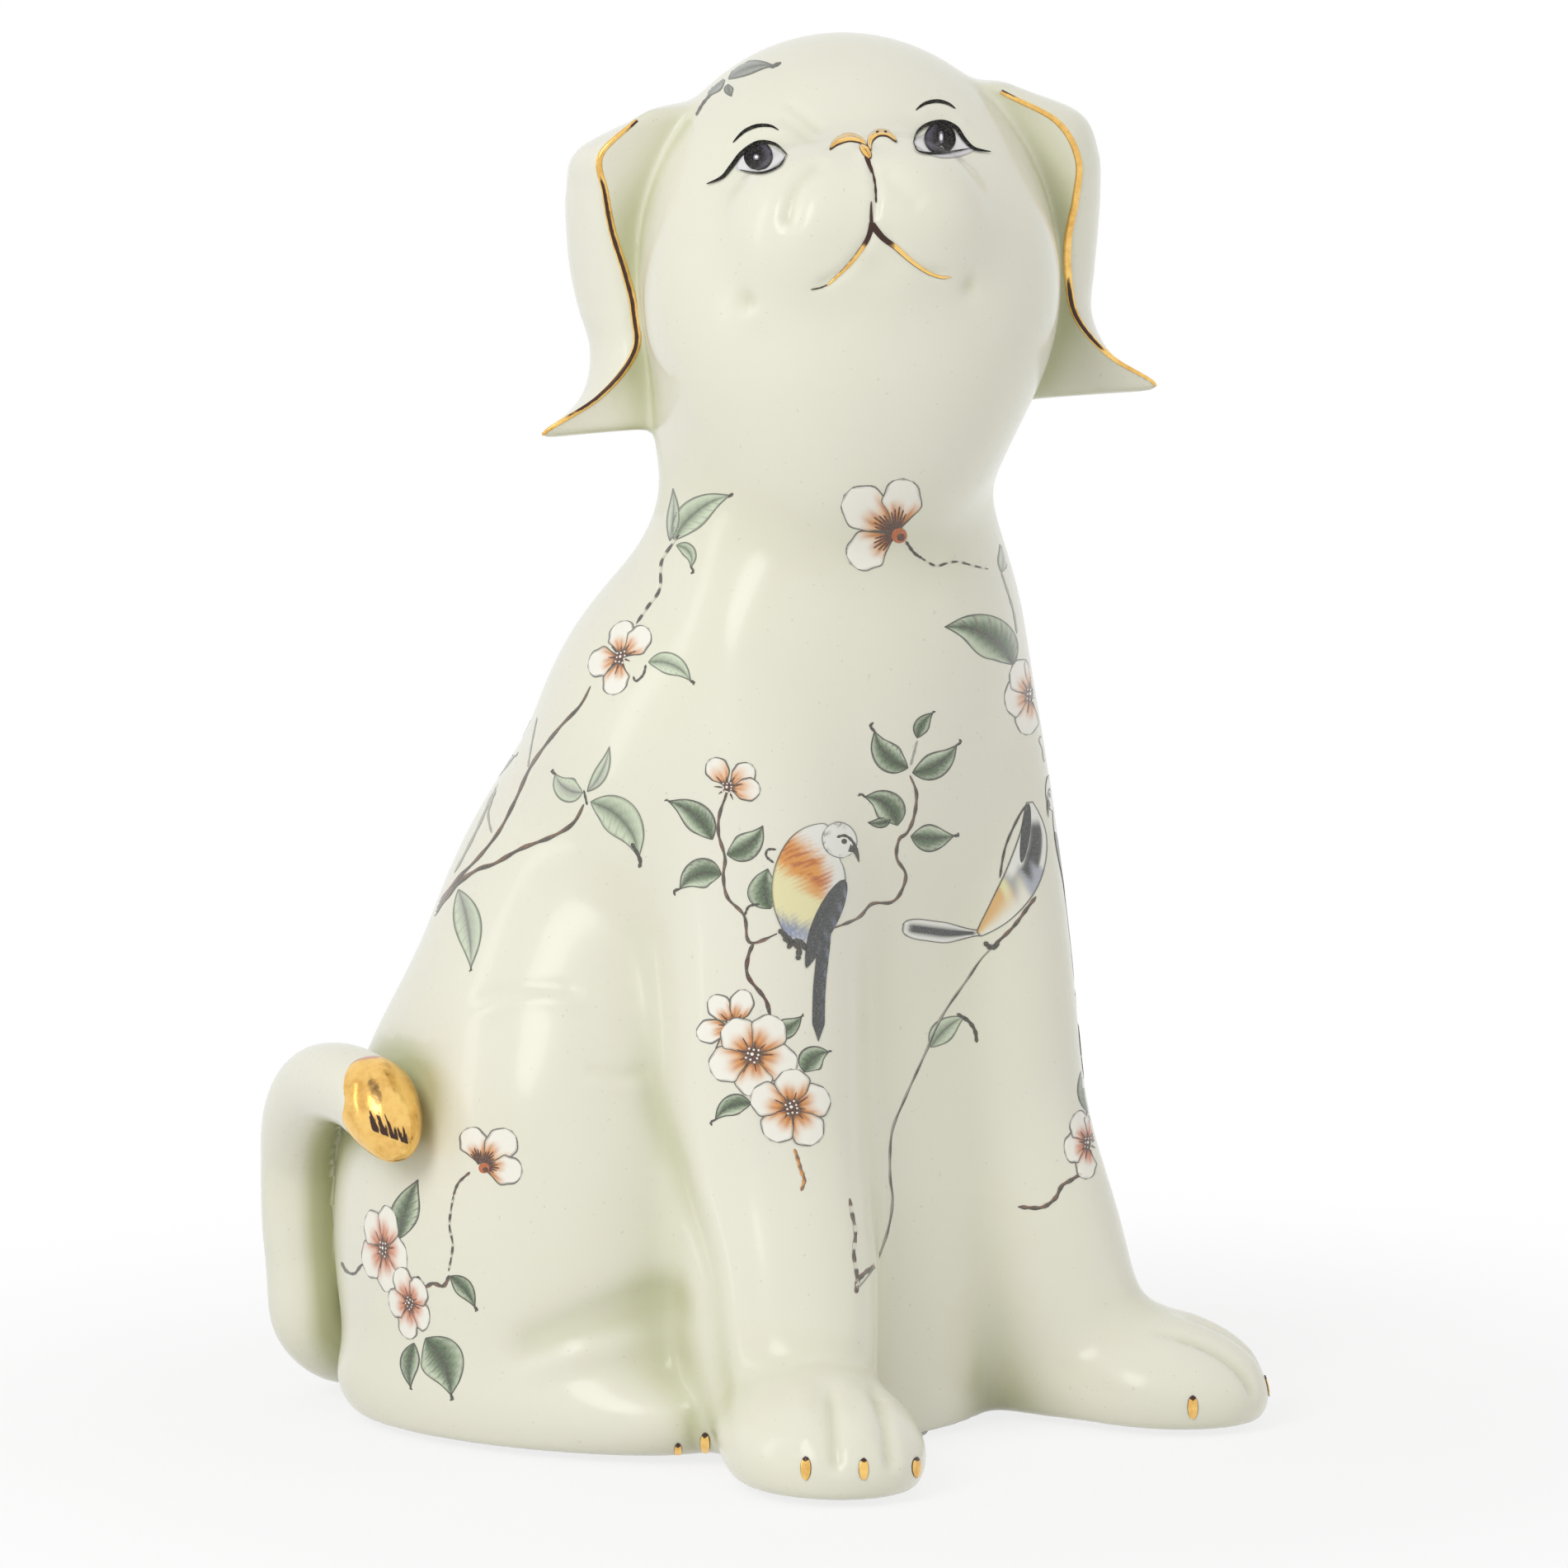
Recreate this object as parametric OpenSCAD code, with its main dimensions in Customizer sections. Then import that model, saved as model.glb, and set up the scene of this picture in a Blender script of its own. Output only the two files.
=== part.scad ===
// Sitting long-eared dog, a hollow glazed ceramic ornament.
// The torso and the head are castings whose surface blends a few named masses, each an ellipsoid
// given in shares of the figure's own sizes. Rays from an axis inside find that surface, and rings
// of such rays are joined into the outer skin and the cavity. Everything that seats on a casting
// takes its place from the same rays. The dog faces -Y, its left is +X, and it stands on z = 0.

/* [Body] */
// Width across the haunches
body_w = 160; // [130:1:190]
// Length from the forepaws to the rump
body_l = 170; // [140:1:200]
// Height of the seam where the head is luted on the neck
neck_h = 204; // [180:1:230]
// Wall of the casting
wall = 4.5; // [3.5:0.5:7]
// Softness of the blend between the large masses
blend = 6; // [4:0.5:8]

/* [Head] */
// Width of the skull
head_w = 82; // [70:1:94]
// Depth of the skull, brow to nape
head_l = 84; // [72:1:96]
// Height of the skull
head_h = 82; // [72:1:94]
// Height of the head's centre above the seam
head_rise = 46; // [42:1:52]
// Turn of the head towards the dog's right, in degrees
head_turn_angle = 41; // [0:1:50]
// Lift of the muzzle, in degrees
head_lift_angle = 21; // [5:1:28]
// Roll of the head, in degrees
head_roll_angle = 4; // [-8:1:8]

/* [Ears] */
// Length of an ear, root to hem
ear_l = 67; // [56:1:72]
// Greatest reach of an ear from the head's upright axis
ear_reach = 58; // [53:0.5:62]
// Reach of the flared tip of an ear
tip_reach = 66; // [60:0.5:70]
// Thickness of an ear along its rear edge
ear_edge = 2; // [1:0.25:3]

/* [Tail] */
// Diameter of the tail
tail_d = 17; // [12:0.5:20]
// Length of the gilded end, along the tail
tip_l = 23; // [16:1:28]

/* [Base] */
// Thickness of the floor slab that closes the body
floor_t = 9; // [7:0.5:12]
// Depth of the hollow in the underside
recess = 4; // [2:0.5:5]
// Width of the foot rim round the hollow
rim_w = 17; // [12:0.5:22]
// Vent and drain hole in the floor
vent_d = 3; // [2:0.5:4]

/* [Pads] */
// Thickness of the self-adhesive pads
pad_t = 1.5; // [1:0.25:3]
// Diameter of the small pads
small_pad_d = 12; // [8:0.5:16]
// Diameter of the large pads
large_pad_d = 21; // [18:0.5:22]
// Diameter of the raised middle of the rear pad
pad_middle_d = 12; // [8:0.5:15]

/* [Nose] */
// Width of the gilded nose button
nose_w = 13; // [10:0.5:16]
// Depth that the nose button stands proud of the muzzle
nose_proud = 2; // [1:0.25:3]

/* [Hidden] */

glaze = [0.90, 0.90, 0.82];
gilt = [0.86, 0.66, 0.30];
white_pad = [0.96, 0.96, 0.95];

// Clearance of a seat between two pieces of the figure
seat_gap = 0.3;
// A ray starts here and must end outside the figure
ray_reach = body_w;
half_body = [body_w / 2, body_l / 2, neck_h];
half_head = [head_w / 2, head_l / 2, head_h / 2];

// Counts of the rings
sides = 72;
leg_rings = 12;
torso_rings = 27;
cavity_rings = 7;
head_rings = 18;
head_cavity_rings = 6;
ear_rings = 24;
ear_cols = 9;
tail_rings = 30;
tail_sides = 16;

// Each row of the shares holds a centre, the radii, a tilt in degrees and the softness of its
// blend as a share. Rows that follow TORSO are doubled to the left and right.
TORSO_SHARES = [
    [[0, 0.35, 0.16], [0.80, 0.65, 0.36], [0, 0, 0], 1],
    [[0, 0.25, 0.385], [0.89, 0.56, 0.37], [-10, 0, 0], 1],
    [[0, 0.03, 0.685], [0.68, 0.53, 0.245], [-12, 0, 0], 1],
    [[0, -0.16, 0.835], [0.51, 0.41, 0.225], [-6, 0, 0], 1],
    [[0, -0.22, 0.32], [0.45, 0.27, 0.52], [-4, 0, 0], 1]
];
HAUNCH_SHARES = [
    [[0.625, 0.35, 0.20], [0.365, 0.54, 0.30], [0, 0, 0], 0.9]
];
LIMB_SHARES = [
    [[0.415, -0.32, 0.43], [0.225, 0.225, 0.41], [-4, -3, 0], 0.7],
    [[0.475, -0.45, 0.167], [0.215, 0.225, 0.196], [-14, -8, 0], 0.7],
    [[0.63, -0.725, 0.044], [0.25, 0.285, 0.069], [8, 0, 14], 0.5],
    [[0.71, 0.21, 0.044], [0.225, 0.565, 0.064], [0, 0, -8], 0.5]
];
NECK_SHARES = [
    [[0, -0.14, 1.04], [0.41, 0.39, 0.11], [0, 0, 0], 1]
];
SKULL_SHARES = [
    [[0, 0.10, 0.10], [0.99, 1, 1], [0, 0, 0], 0.7],
    [[0, -0.66, -0.22], [0.60, 0.60, 0.46], [0, 0, 0], 0.8],
    [[0, -0.44, -0.70], [0.66, 0.58, 0.50], [0, 0, 0], 1],
    [[0, -0.22, -0.96], [0.60, 0.56, 0.60], [0, 0, 0], 1.2]
];
FACE_SHARES = [
    [[0.47, -0.16, -0.32], [0.54, 0.70, 0.66], [0, 0, 0], 1],
    [[0.24, -0.97, -0.16], [0.33, 0.30, 0.34], [0, 0, 0], 0.5]
];

// A mass as the tools of the field use it: unit-ball matrix, centre, softness
function turn(a) =
    [[cos(a.z), -sin(a.z), 0], [sin(a.z), cos(a.z), 0], [0, 0, 1]]
    * [[cos(a.y), 0, sin(a.y)], [0, 1, 0], [-sin(a.y), 0, cos(a.y)]]
    * [[1, 0, 0], [0, cos(a.x), -sin(a.x)], [0, sin(a.x), cos(a.x)]];
function flip(m) = [for (c = [0 : 2]) [for (r = [0 : 2]) m[r][c]]];
function scaled(v, s) = [v.x * s.x, v.y * s.y, v.z * s.z];
function mass(row, size, side, origin, frame) =
    let (
        radii = scaled(row[1], size),
        tilt = [row[2].x, side * row[2].y, side * row[2].z],
        axes = flip(frame * turn(tilt)),
        ball = [axes[0] / radii.x, axes[1] / radii.y, axes[2] / radii.z],
        middle = scaled([side * row[0].x, row[0].y, row[0].z], size)
    )
    [ball, origin + frame * middle, blend * row[3]];
function masses(rows, size, mirrored, origin, frame) =
    [for (row = rows) for (side = mirrored ? [-1, 1] : [1]) mass(row, size, side, origin, frame)];

UPRIGHT = turn([0, 0, 0]);
// The frame starts under the centre pad, so the middle of the body lies this far behind it
centre_pad_share = -0.33;
ORIGIN = [0, -centre_pad_share * body_l / 2, 0];
head_place_share = [0.025, -0.19];
HEAD_CENTRE = ORIGIN
    + [head_place_share.x * body_w / 2, head_place_share.y * body_l / 2, neck_h + head_rise];
HEAD_YAW = turn([0, 0, -head_turn_angle]) * turn([0, -head_roll_angle, 0]);
HEAD_FRAME = HEAD_YAW * turn([-head_lift_angle, 0, 0]);

TORSO = masses(TORSO_SHARES, half_body, false, ORIGIN, UPRIGHT);
HAUNCHES = masses(HAUNCH_SHARES, half_body, true, ORIGIN, UPRIGHT);
LIMBS = masses(LIMB_SHARES, half_body, true, ORIGIN, UPRIGHT);
NECK = masses(NECK_SHARES, half_body, false, ORIGIN, UPRIGHT);
SKULL = masses(SKULL_SHARES, half_head, false, HEAD_CENTRE, HEAD_FRAME);
FACE = masses(FACE_SHARES, half_head, true, HEAD_CENTRE, HEAD_FRAME);

SHOULDERS = [TORSO[2], TORSO[3]];
BODY_SKIN = concat(TORSO, HAUNCHES, LIMBS, NECK);
BODY_CAVITY = concat(TORSO, HAUNCHES, NECK);
HEAD_SKIN = concat(SKULL, FACE, NECK, SHOULDERS);
SEAM_SKIN = concat(BODY_SKIN, SKULL, FACE);

// The field: one over the whole surface, more inside it, less outside
function gap_to(p, m) = let (q = m[0] * (p - m[1]), k = norm(q)) k * (k - 1) / norm(q * m[0]);
function filled(p, ms, inset) =
    let (parts = [for (m = ms) exp(-(gap_to(p, m) + inset) / m[2])]) parts * [for (e = parts) 1];
// Distance along the ray d from o to the surface sunk by inset, by halving and one last fit
halvings = 8;
function reach(o, d, ms, inset, near = 0, far = ray_reach, n = halvings) =
    let (mid = (near + far) / 2)
    n > 0
        ? (filled(o + d * mid, ms, inset) > 1
            ? reach(o, d, ms, inset, mid, far, n - 1)
            : reach(o, d, ms, inset, near, mid, n - 1))
        : let (a = ln(filled(o + d * near, ms, inset)), b = ln(filled(o + d * far, ms, inset)))
            near + (far - near) * a / (a - b);

// The upright axis of the torso leans forward as it rises
axis_lean_share = 0.36;
axis_foot_share = 0.16;
function axis_at(z) = ORIGIN
    + [0, (axis_foot_share - axis_lean_share * pow(max(z, 0) / neck_h, 2)) * body_l / 2, z];
function flat_ray(azimuth) = [sin(azimuth), -cos(azimuth), 0];
function azimuth_of(i, n = sides) = (i + 0.5) * 360 / n;
function body_point(azimuth, z, ms, inset) =
    let (o = axis_at(z), d = flat_ray(azimuth)) o + d * reach(o, d, ms, inset);
function body_ring(z, ms, inset) = [for (i = [0 : sides - 1]) body_point(azimuth_of(i), z, ms, inset)];

// Heights of the rings: close together at the paws, then wider
leg_share = 0.17;
function mix(a, b, t) = a + (b - a) * t;
function outer_heights() = concat(
    [for (i = [0 : leg_rings - 1]) mix(pad_t, leg_share * neck_h, i / leg_rings)],
    [for (i = [0 : torso_rings - 1]) mix(leg_share * neck_h, neck_h, i / torso_rings)]
);
floor_top = pad_t + floor_t;
function inner_heights() = concat(
    [pad_t],
    [for (i = [0 : cavity_rings - 1]) mix(floor_top, neck_h, i / cavity_rings)]
);

// Joins rings of equal counts into a skin, as triangles; closed: the last ring meets the first
function skin_faces(rings, n, closed) =
    [for (r = [0 : rings - (closed ? 1 : 2)]) for (i = [0 : n - 1])
        let (a = r * n, b = ((r + 1) % rings) * n, j = (i + 1) % n)
        each [[a + i, b + i, b + j], [a + i, b + j, a + j]]];
function flat(rings) = [for (ring = rings) each ring];
// Closes the end ring that starts at index s with a fan of triangles round one more point
function fan(s, n, tip, forward) =
    [for (i = [0 : n - 1]) let (j = (i + 1) % n)
        forward ? [s + i, tip, s + j] : [s + i, s + j, tip]];

function seam_ring(inset) = body_ring(neck_h, SEAM_SKIN, inset);
// From here up, the throat of the head takes part in the body's surface
throat_share = 0.8;
function skin_at(z) = z > throat_share * neck_h ? SEAM_SKIN : BODY_SKIN;

module body_shell() {
    outer = concat([for (z = outer_heights()) body_ring(z, skin_at(z), 0)], [seam_ring(0)]);
    heights = inner_heights();
    inner = concat([seam_ring(wall)],
        [for (k = [len(heights) - 1 : -1 : 0]) body_ring(heights[k], BODY_CAVITY, wall)]);
    rings = concat(outer, inner);
    color(glaze) polyhedron(flat(rings), skin_faces(len(rings), sides, true));
}

// The slab seats on the same rings as the cavity's lowest stretch. Its skin runs from the ceiling
// of the hollow down to the foot rim, and up its outer side.
module base_plate() {
    rings = [hollow_ring(pad_t + recess), hollow_ring(pad_t),
        body_ring(pad_t, BODY_CAVITY, wall), body_ring(floor_top, BODY_CAVITY, wall)];
    count = len(rings);
    ceiling = [for (i = [0 : sides - 1]) i];
    upside = [for (i = [sides - 1 : -1 : 0]) (count - 1) * sides + i];
    color(glaze) difference() {
        polyhedron(flat(rings), concat(skin_faces(count, sides, false), [ceiling, upside]));
        translate(concat(vent_place(), [0])) cylinder(d = vent_d, h = 2 * floor_top, $fn = 48);
    }
}

// The hollow keeps a rim all round, and a web behind the forelegs that carries the centre pad
web_depth_share = 0.18;
web_spread_angle = 34;
function web_at(azimuth) =
    let (off = azimuth > 180 ? azimuth - 360 : azimuth) exp(-pow(off / web_spread_angle, 2));
function hollow_ring(z) =
    [for (i = [0 : sides - 1])
        let (azimuth = azimuth_of(i), o = axis_at(pad_t), d = flat_ray(azimuth),
            r = reach(o, d, BODY_CAVITY, wall) + wall - rim_w
                - web_depth_share * body_l / 2 * web_at(azimuth),
            p = o + d * max(r, recess))
        [p.x, p.y, z]];

// The vent opens at the edge of the centre pad
function vent_place() = [0, large_pad_d / 2];

module pad(place, diameter) {
    color(white_pad) translate(concat(place, [0])) cylinder(d = diameter, h = pad_t, $fn = 64);
}
paw_pad_share = [0.63, -0.73];
hind_pad_share = [0.66, 0.16];
rear_pad_share = [-0.55, 0.52];
function pad_place(share, side = 1) =
    [ORIGIN.x + side * share.x * body_w / 2, ORIGIN.y + share.y * body_l / 2];

module pad_paw_right() { pad(pad_place(paw_pad_share, -1), small_pad_d); }
module pad_paw_left() { pad(pad_place(paw_pad_share), small_pad_d); }
module pad_hind_left() { pad(pad_place(hind_pad_share), small_pad_d); }
module pad_centre() { pad([0, 0], large_pad_d); }

// The rear pad rests on a raised middle inside a thinner flange
flange_share = 0.65;
module pad_rear() {
    color(white_pad) translate(concat(pad_place(rear_pad_share), [0])) {
        cylinder(d = pad_middle_d, h = pad_t, $fn = 64);
        translate([0, 0, (1 - flange_share) * pad_t])
            cylinder(d = large_pad_d, h = flange_share * pad_t, $fn = 64);
    }
}

// Head: rays fan out from its centre, from the seam at the bottom to the crown
function head_ray(polar, azimuth) =
    [sin(polar) * sin(azimuth), -sin(polar) * cos(azimuth), cos(polar)];
polar_low = 130;
function head_ring(polar, inset) =
    [for (i = [0 : sides - 1])
        let (d = head_ray(polar, azimuth_of(i)))
        HEAD_CENTRE + d * reach(HEAD_CENTRE, d, HEAD_SKIN, inset)];
module head_shell() {
    outer = concat([seam_ring(0)],
        [for (k = [0 : head_rings - 1]) head_ring(mix(polar_low, 0, k / head_rings), 0)]);
    inner = concat(
        [for (k = [head_cavity_rings - 1 : -1 : 0]) head_ring(mix(polar_low, 0, k / head_cavity_rings), wall)],
        [seam_ring(wall)]);
    crown = HEAD_CENTRE + [0, 0, reach(HEAD_CENTRE, [0, 0, 1], HEAD_SKIN, 0)];
    vault = HEAD_CENTRE + [0, 0, reach(HEAD_CENTRE, [0, 0, 1], HEAD_SKIN, wall)];
    n_outer = len(outer);
    n_inner = len(inner);
    total = (n_outer + n_inner) * sides;
    outer_faces = skin_faces(n_outer, sides, false);
    inner_faces = [for (f = skin_faces(n_inner, sides, false)) [for (v = f) v + n_outer * sides]];
    rim = [for (i = [0 : sides - 1])
        let (j = (i + 1) % sides, a = 0, b = (n_outer + n_inner - 1) * sides)
        each [[b + i, a + i, a + j], [b + i, a + j, b + j]]];
    color(glaze) polyhedron(
        concat(flat(outer), flat(inner), [crown, vault]),
        concat(outer_faces, inner_faces, rim,
            fan((n_outer - 1) * sides, sides, total, true),
            fan(n_outer * sides, sides, total + 1, false)));
}

// A smooth curve through values spaced evenly over t from 0 to 1
function smooth_at(values, t) =
    let (
        n = len(values) - 1,
        x = min(max(t, 0), 1) * n,
        i = min(floor(x), n - 1),
        u = x - i,
        a = values[max(i - 1, 0)],
        b = values[i],
        c = values[i + 1],
        d = values[min(i + 2, n)]
    )
    b + u / 2 * (c - a + u * (2 * a - 5 * b + 4 * c - d + u * (3 * (b - c) + d - a)));
function unit(v) = v / norm(v);

// Ears: each is a curtain that hangs from the side of the head. Its ridge, which carries the gilt
// line, is its front edge, and its belly swells behind the ridge.
ear_top_share = 0.76;
RIDGE_SHARES = [0.58, 0.755, 0.785, 0.76, 0.725, 0.70, 0.735, 0.85, 0.99];
BELLY_SHARES = [0.64, 0.93, 1.00, 1.01, 1.00, 0.97, 0.93, 0.93, 0.92];
SPAN_SHARES = [0.40, 0.74, 0.90, 0.97, 1.00, 1.00, 0.98, 0.92, 0.80];
ear_front = 86;
ear_span = 58;
hem_share = 0.5;
function ear_ray(side, azimuth) = HEAD_YAW * [side * sin(azimuth), -cos(azimuth), 0];
function bezier(a, b, c, d, s) =
    a * pow(1 - s, 3) + 3 * b * s * pow(1 - s, 2) + 3 * c * s * s * (1 - s) + d * pow(s, 3);
function ear_ring(side, t) =
    let (
        o = HEAD_CENTRE + HEAD_YAW * [0, 0, ear_top_share * head_h / 2 - t * ear_l],
        ridge = smooth_at(RIDGE_SHARES, t) * tip_reach,
        belly = smooth_at(BELLY_SHARES, t) * ear_reach,
        span = smooth_at(SPAN_SHARES, t) * ear_span,
        fill = t < 1 ? 1 : hem_share,
        rows = [for (k = [0 : ear_cols])
            let (
                s = k / ear_cols,
                d = ear_ray(side, ear_front + s * span),
                near = reach(o, d, HEAD_SKIN, 0) + seat_gap,
                full = bezier(ridge, (4 * belly - ridge) / 3, belly, near + ear_edge, s),
                far = max(near + ear_edge, mix(near + ear_edge, full, fill))
            )
            [o + d * near, o + d * far]]
    )
    concat([for (row = rows) row[0]], [for (k = [ear_cols : -1 : 0]) rows[k][1]]);
// Closes a ring whose second half runs back along the first
function ladder(s, n, forward) =
    [for (k = [0 : n - 2])
        let (a = s + k, b = s + k + 1, c = s + 2 * n - 2 - k, d = s + 2 * n - 1 - k)
        each forward ? [[a, b, c], [a, c, d]] : [[a, c, b], [a, d, c]]];
function turned(faces) = [for (f = faces) [f[0], f[2], f[1]]];
module ear(side) {
    count = 2 * (ear_cols + 1);
    rings = [for (k = [0 : ear_rings]) ear_ring(side, k / ear_rings)];
    faces = concat(skin_faces(ear_rings + 1, count, false), ladder(0, ear_cols + 1, true),
        ladder(ear_rings * count, ear_cols + 1, false));
    color(glaze) polyhedron(flat(rings), side > 0 ? faces : turned(faces));
}
module ear_right() { ear(-1); }
module ear_left() { ear(1); }

// Tail: a tube that lies against the rump and the right haunch, from the root behind the rump,
// round along the floor, up the column and over to its gilded end
TAIL_AZIMUTHS = [180, 192, 204, 215, 221, 222, 225, 237, 252.5, 261];
TAIL_HEIGHT_SHARES = [0.12, 0.08, 0.058, 0.05, 0.085, 0.17, 0.275, 0.356, 0.363, 0.303];
TAIL_GIRTH_SHARES = [1, 1, 1, 1, 1, 0.98, 0.97, 0.97, 1, 1];
tail_r = tail_d / 2;
function outward(p, ms) =
    unit([for (m = ms) let (q = m[0] * (p - m[1])) exp(-gap_to(p, m) / m[2]) / m[2]]
        * [for (m = ms) unit((m[0] * (p - m[1])) * m[0])]);
// Its centre runs on the body's own surface, moved out by the tail's radius and a clearance
function tail_centre(t) =
    let (z = max(smooth_at(TAIL_HEIGHT_SHARES, t) * neck_h, tail_r + pad_t))
    body_point(smooth_at(TAIL_AZIMUTHS, t), z, BODY_SKIN, -(tail_r + seat_gap));
tail_step = 0.01;
function tail_ring(t, girth) =
    let (
        c = tail_centre(t),
        ahead = unit(tail_centre(t + tail_step) - tail_centre(t - tail_step)),
        n = unit(cross(ahead, cross(outward(c, BODY_SKIN), ahead))),
        b = cross(ahead, n)
    )
    [for (i = [0 : tail_sides - 1])
        let (a = i * 360 / tail_sides) c + girth * tail_r * (n * cos(a) + b * sin(a))];
function tail_length(n = tail_rings) =
    let (stops = [for (k = [0 : n]) tail_centre(k / n)], runs = [for (k = [1 : n]) norm(stops[k] - stops[k - 1])])
    runs * [for (r = runs) 1];

// Both ends of the tube are rounded off in a few rings
end_rings = 5;
module tube(ts, girths) {
    count = len(ts);
    rings = [for (k = [0 : count - 1]) tail_ring(ts[k], girths[k])];
    points = concat(flat(rings), [tail_centre(ts[0]), tail_centre(ts[count - 1])]);
    faces = concat(skin_faces(count, tail_sides, false), fan(0, tail_sides, count * tail_sides, false),
        fan((count - 1) * tail_sides, tail_sides, count * tail_sides + 1, true));
    polyhedron(points, faces);
}
function girth_at(t) = smooth_at(TAIL_GIRTH_SHARES, t);
end_steps = [for (k = [0 : end_rings - 1]) 90 * (k + 0.5) / end_rings];
module tail() {
    length = tail_length();
    root = tail_r / length;
    stop = 1 - tip_l / length;
    ts = concat([for (a = end_steps) root * (1 - cos(a))],
        [for (k = [0 : tail_rings]) mix(root, stop, k / tail_rings)]);
    girths = concat([for (a = end_steps) sin(a)],
        [for (k = [0 : tail_rings]) girth_at(mix(root, stop, k / tail_rings))]);
    color(glaze) tube(ts, girths);
}
module tail_tip() {
    length = tail_length();
    start = 1 - tip_l / length;
    round_from = 1 - tail_r / length;
    ts = concat([for (k = [0 : end_rings - 1]) mix(start, round_from, k / end_rings)],
        [for (a = end_steps) 1 - tail_r / length * (1 - sin(a))]);
    girths = concat([for (k = [0 : end_rings - 1]) girth_at(start)],
        [for (a = end_steps) girth_at(start) * cos(a)]);
    color(gilt) tube(ts, girths);
}

// Nose: a low button on the muzzle, wider above than below
nose_height_share = 0.7;
nose_top_share = 0.25;
nose_rise = 0.07;
nose_rings = 3;
nose_sides = 24;
nose_edge = 0.6;
function nose_ray(u, v) = unit(HEAD_FRAME * [u, -1, v + nose_rise]);
function nose_point(rho, angle, lift) =
    let (
        half = nose_w / 2 / reach(HEAD_CENTRE, nose_ray(0, 0), HEAD_SKIN, 0),
        u = rho * half * cos(angle) * (1 + nose_top_share * sin(angle)),
        v = rho * half * nose_height_share * sin(angle),
        d = nose_ray(u, v)
    )
    HEAD_CENTRE + d * (reach(HEAD_CENTRE, d, HEAD_SKIN, 0) + seat_gap + lift);
module nose() {
    inner = [for (k = [1 : nose_rings]) [for (i = [0 : nose_sides - 1])
        nose_point(k / nose_rings, i * 360 / nose_sides, 0)]];
    outer = [for (k = [nose_rings : -1 : 1]) [for (i = [0 : nose_sides - 1])
        nose_point(k / nose_rings, i * 360 / nose_sides,
            nose_edge + (nose_proud - nose_edge) * sqrt(1 - pow(k / nose_rings, 2)))]];
    count = 2 * nose_rings;
    points = concat(flat(inner), flat(outer), [nose_point(0, 0, 0), nose_point(0, 0, nose_proud)]);
    color(gilt) polyhedron(points, concat(skin_faces(count, nose_sides, false),
        fan(0, nose_sides, count * nose_sides, false),
        fan((count - 1) * nose_sides, nose_sides, count * nose_sides + 1, true)));
}

body_shell();
base_plate();
head_shell();
ear_right();
ear_left();
tail();
tail_tip();
nose();
pad_paw_right();
pad_paw_left();
pad_hind_left();
pad_centre();
pad_rear();
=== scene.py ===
"""Looks of a sitting long-eared dog, a hollow glazed ceramic ornament with a printed decoration.

The glazed skin is one implicit surface in millimetres: the blended masses of the castings, the
curtains of the ears and the tube of the tail. It is meshed finely, shaped a little further by shallow
swells and grooves, and cut into its glazed pieces. The decoration, the eyes and the gold lines are
thin strokes laid on that surface.
"""

import logging
import math
from dataclasses import dataclass, field
from enum import Enum
from typing import Callable, Sequence

import bmesh
import bpy
import numpy as np
from mathutils import Matrix, Vector
from mathutils.bvhtree import BVHTree


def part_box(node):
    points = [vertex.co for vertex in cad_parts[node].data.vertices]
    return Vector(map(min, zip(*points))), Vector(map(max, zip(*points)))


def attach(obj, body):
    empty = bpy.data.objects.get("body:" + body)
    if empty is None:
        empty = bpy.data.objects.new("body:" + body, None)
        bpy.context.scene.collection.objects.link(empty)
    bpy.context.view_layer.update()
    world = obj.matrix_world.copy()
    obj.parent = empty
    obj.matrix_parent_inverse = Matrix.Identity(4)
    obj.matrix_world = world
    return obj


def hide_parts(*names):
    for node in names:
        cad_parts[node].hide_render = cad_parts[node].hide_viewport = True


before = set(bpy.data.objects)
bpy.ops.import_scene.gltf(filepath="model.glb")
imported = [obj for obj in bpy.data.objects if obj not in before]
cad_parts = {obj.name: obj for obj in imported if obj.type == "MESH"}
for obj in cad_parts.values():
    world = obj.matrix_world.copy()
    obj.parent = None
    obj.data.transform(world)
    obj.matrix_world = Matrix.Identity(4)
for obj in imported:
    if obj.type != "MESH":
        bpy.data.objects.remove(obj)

log = logging.getLogger("dog")

MM = 0.001
FRAME = 1901
SENSOR = 36.0


# ----------------------------------------------------------------------------- small maths


def turn(tilt: Sequence[float]) -> np.ndarray:
    """Returns the turn about x, then y, then z, by degrees, as a 3 x 3 matrix."""
    a, b, c = np.radians(tilt)
    about_x = np.array([[1, 0, 0], [0, np.cos(a), -np.sin(a)], [0, np.sin(a), np.cos(a)]])
    about_y = np.array([[np.cos(b), 0, np.sin(b)], [0, 1, 0], [-np.sin(b), 0, np.cos(b)]])
    about_z = np.array([[np.cos(c), -np.sin(c), 0], [np.sin(c), np.cos(c), 0], [0, 0, 1]])
    return about_z @ about_y @ about_x


def size_of(vectors: np.ndarray) -> np.ndarray:
    """Returns the length of each row."""
    return np.sqrt((vectors * vectors).sum(-1)) + 1e-12


def unit(vectors: np.ndarray) -> np.ndarray:
    """Returns each row at length one."""
    return vectors / size_of(vectors)[..., None]


def merged(a: np.ndarray, b: np.ndarray, softness: float) -> np.ndarray:
    """Joins two forms with a fillet.

    Args:
        a: Distances to the first form, negative inside it.
        b: Distances to the second form.
        softness: Size of the fillet.

    Returns:
        Distances to both together.
    """
    return np.minimum(a, b) - softness * np.log1p(np.exp(-np.abs(a - b) / softness))


def shared(a: np.ndarray, b: np.ndarray, softness: float) -> np.ndarray:
    """Returns the distances to what two forms share, with its edge rounded."""
    return -merged(-a, -b, softness)


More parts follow.
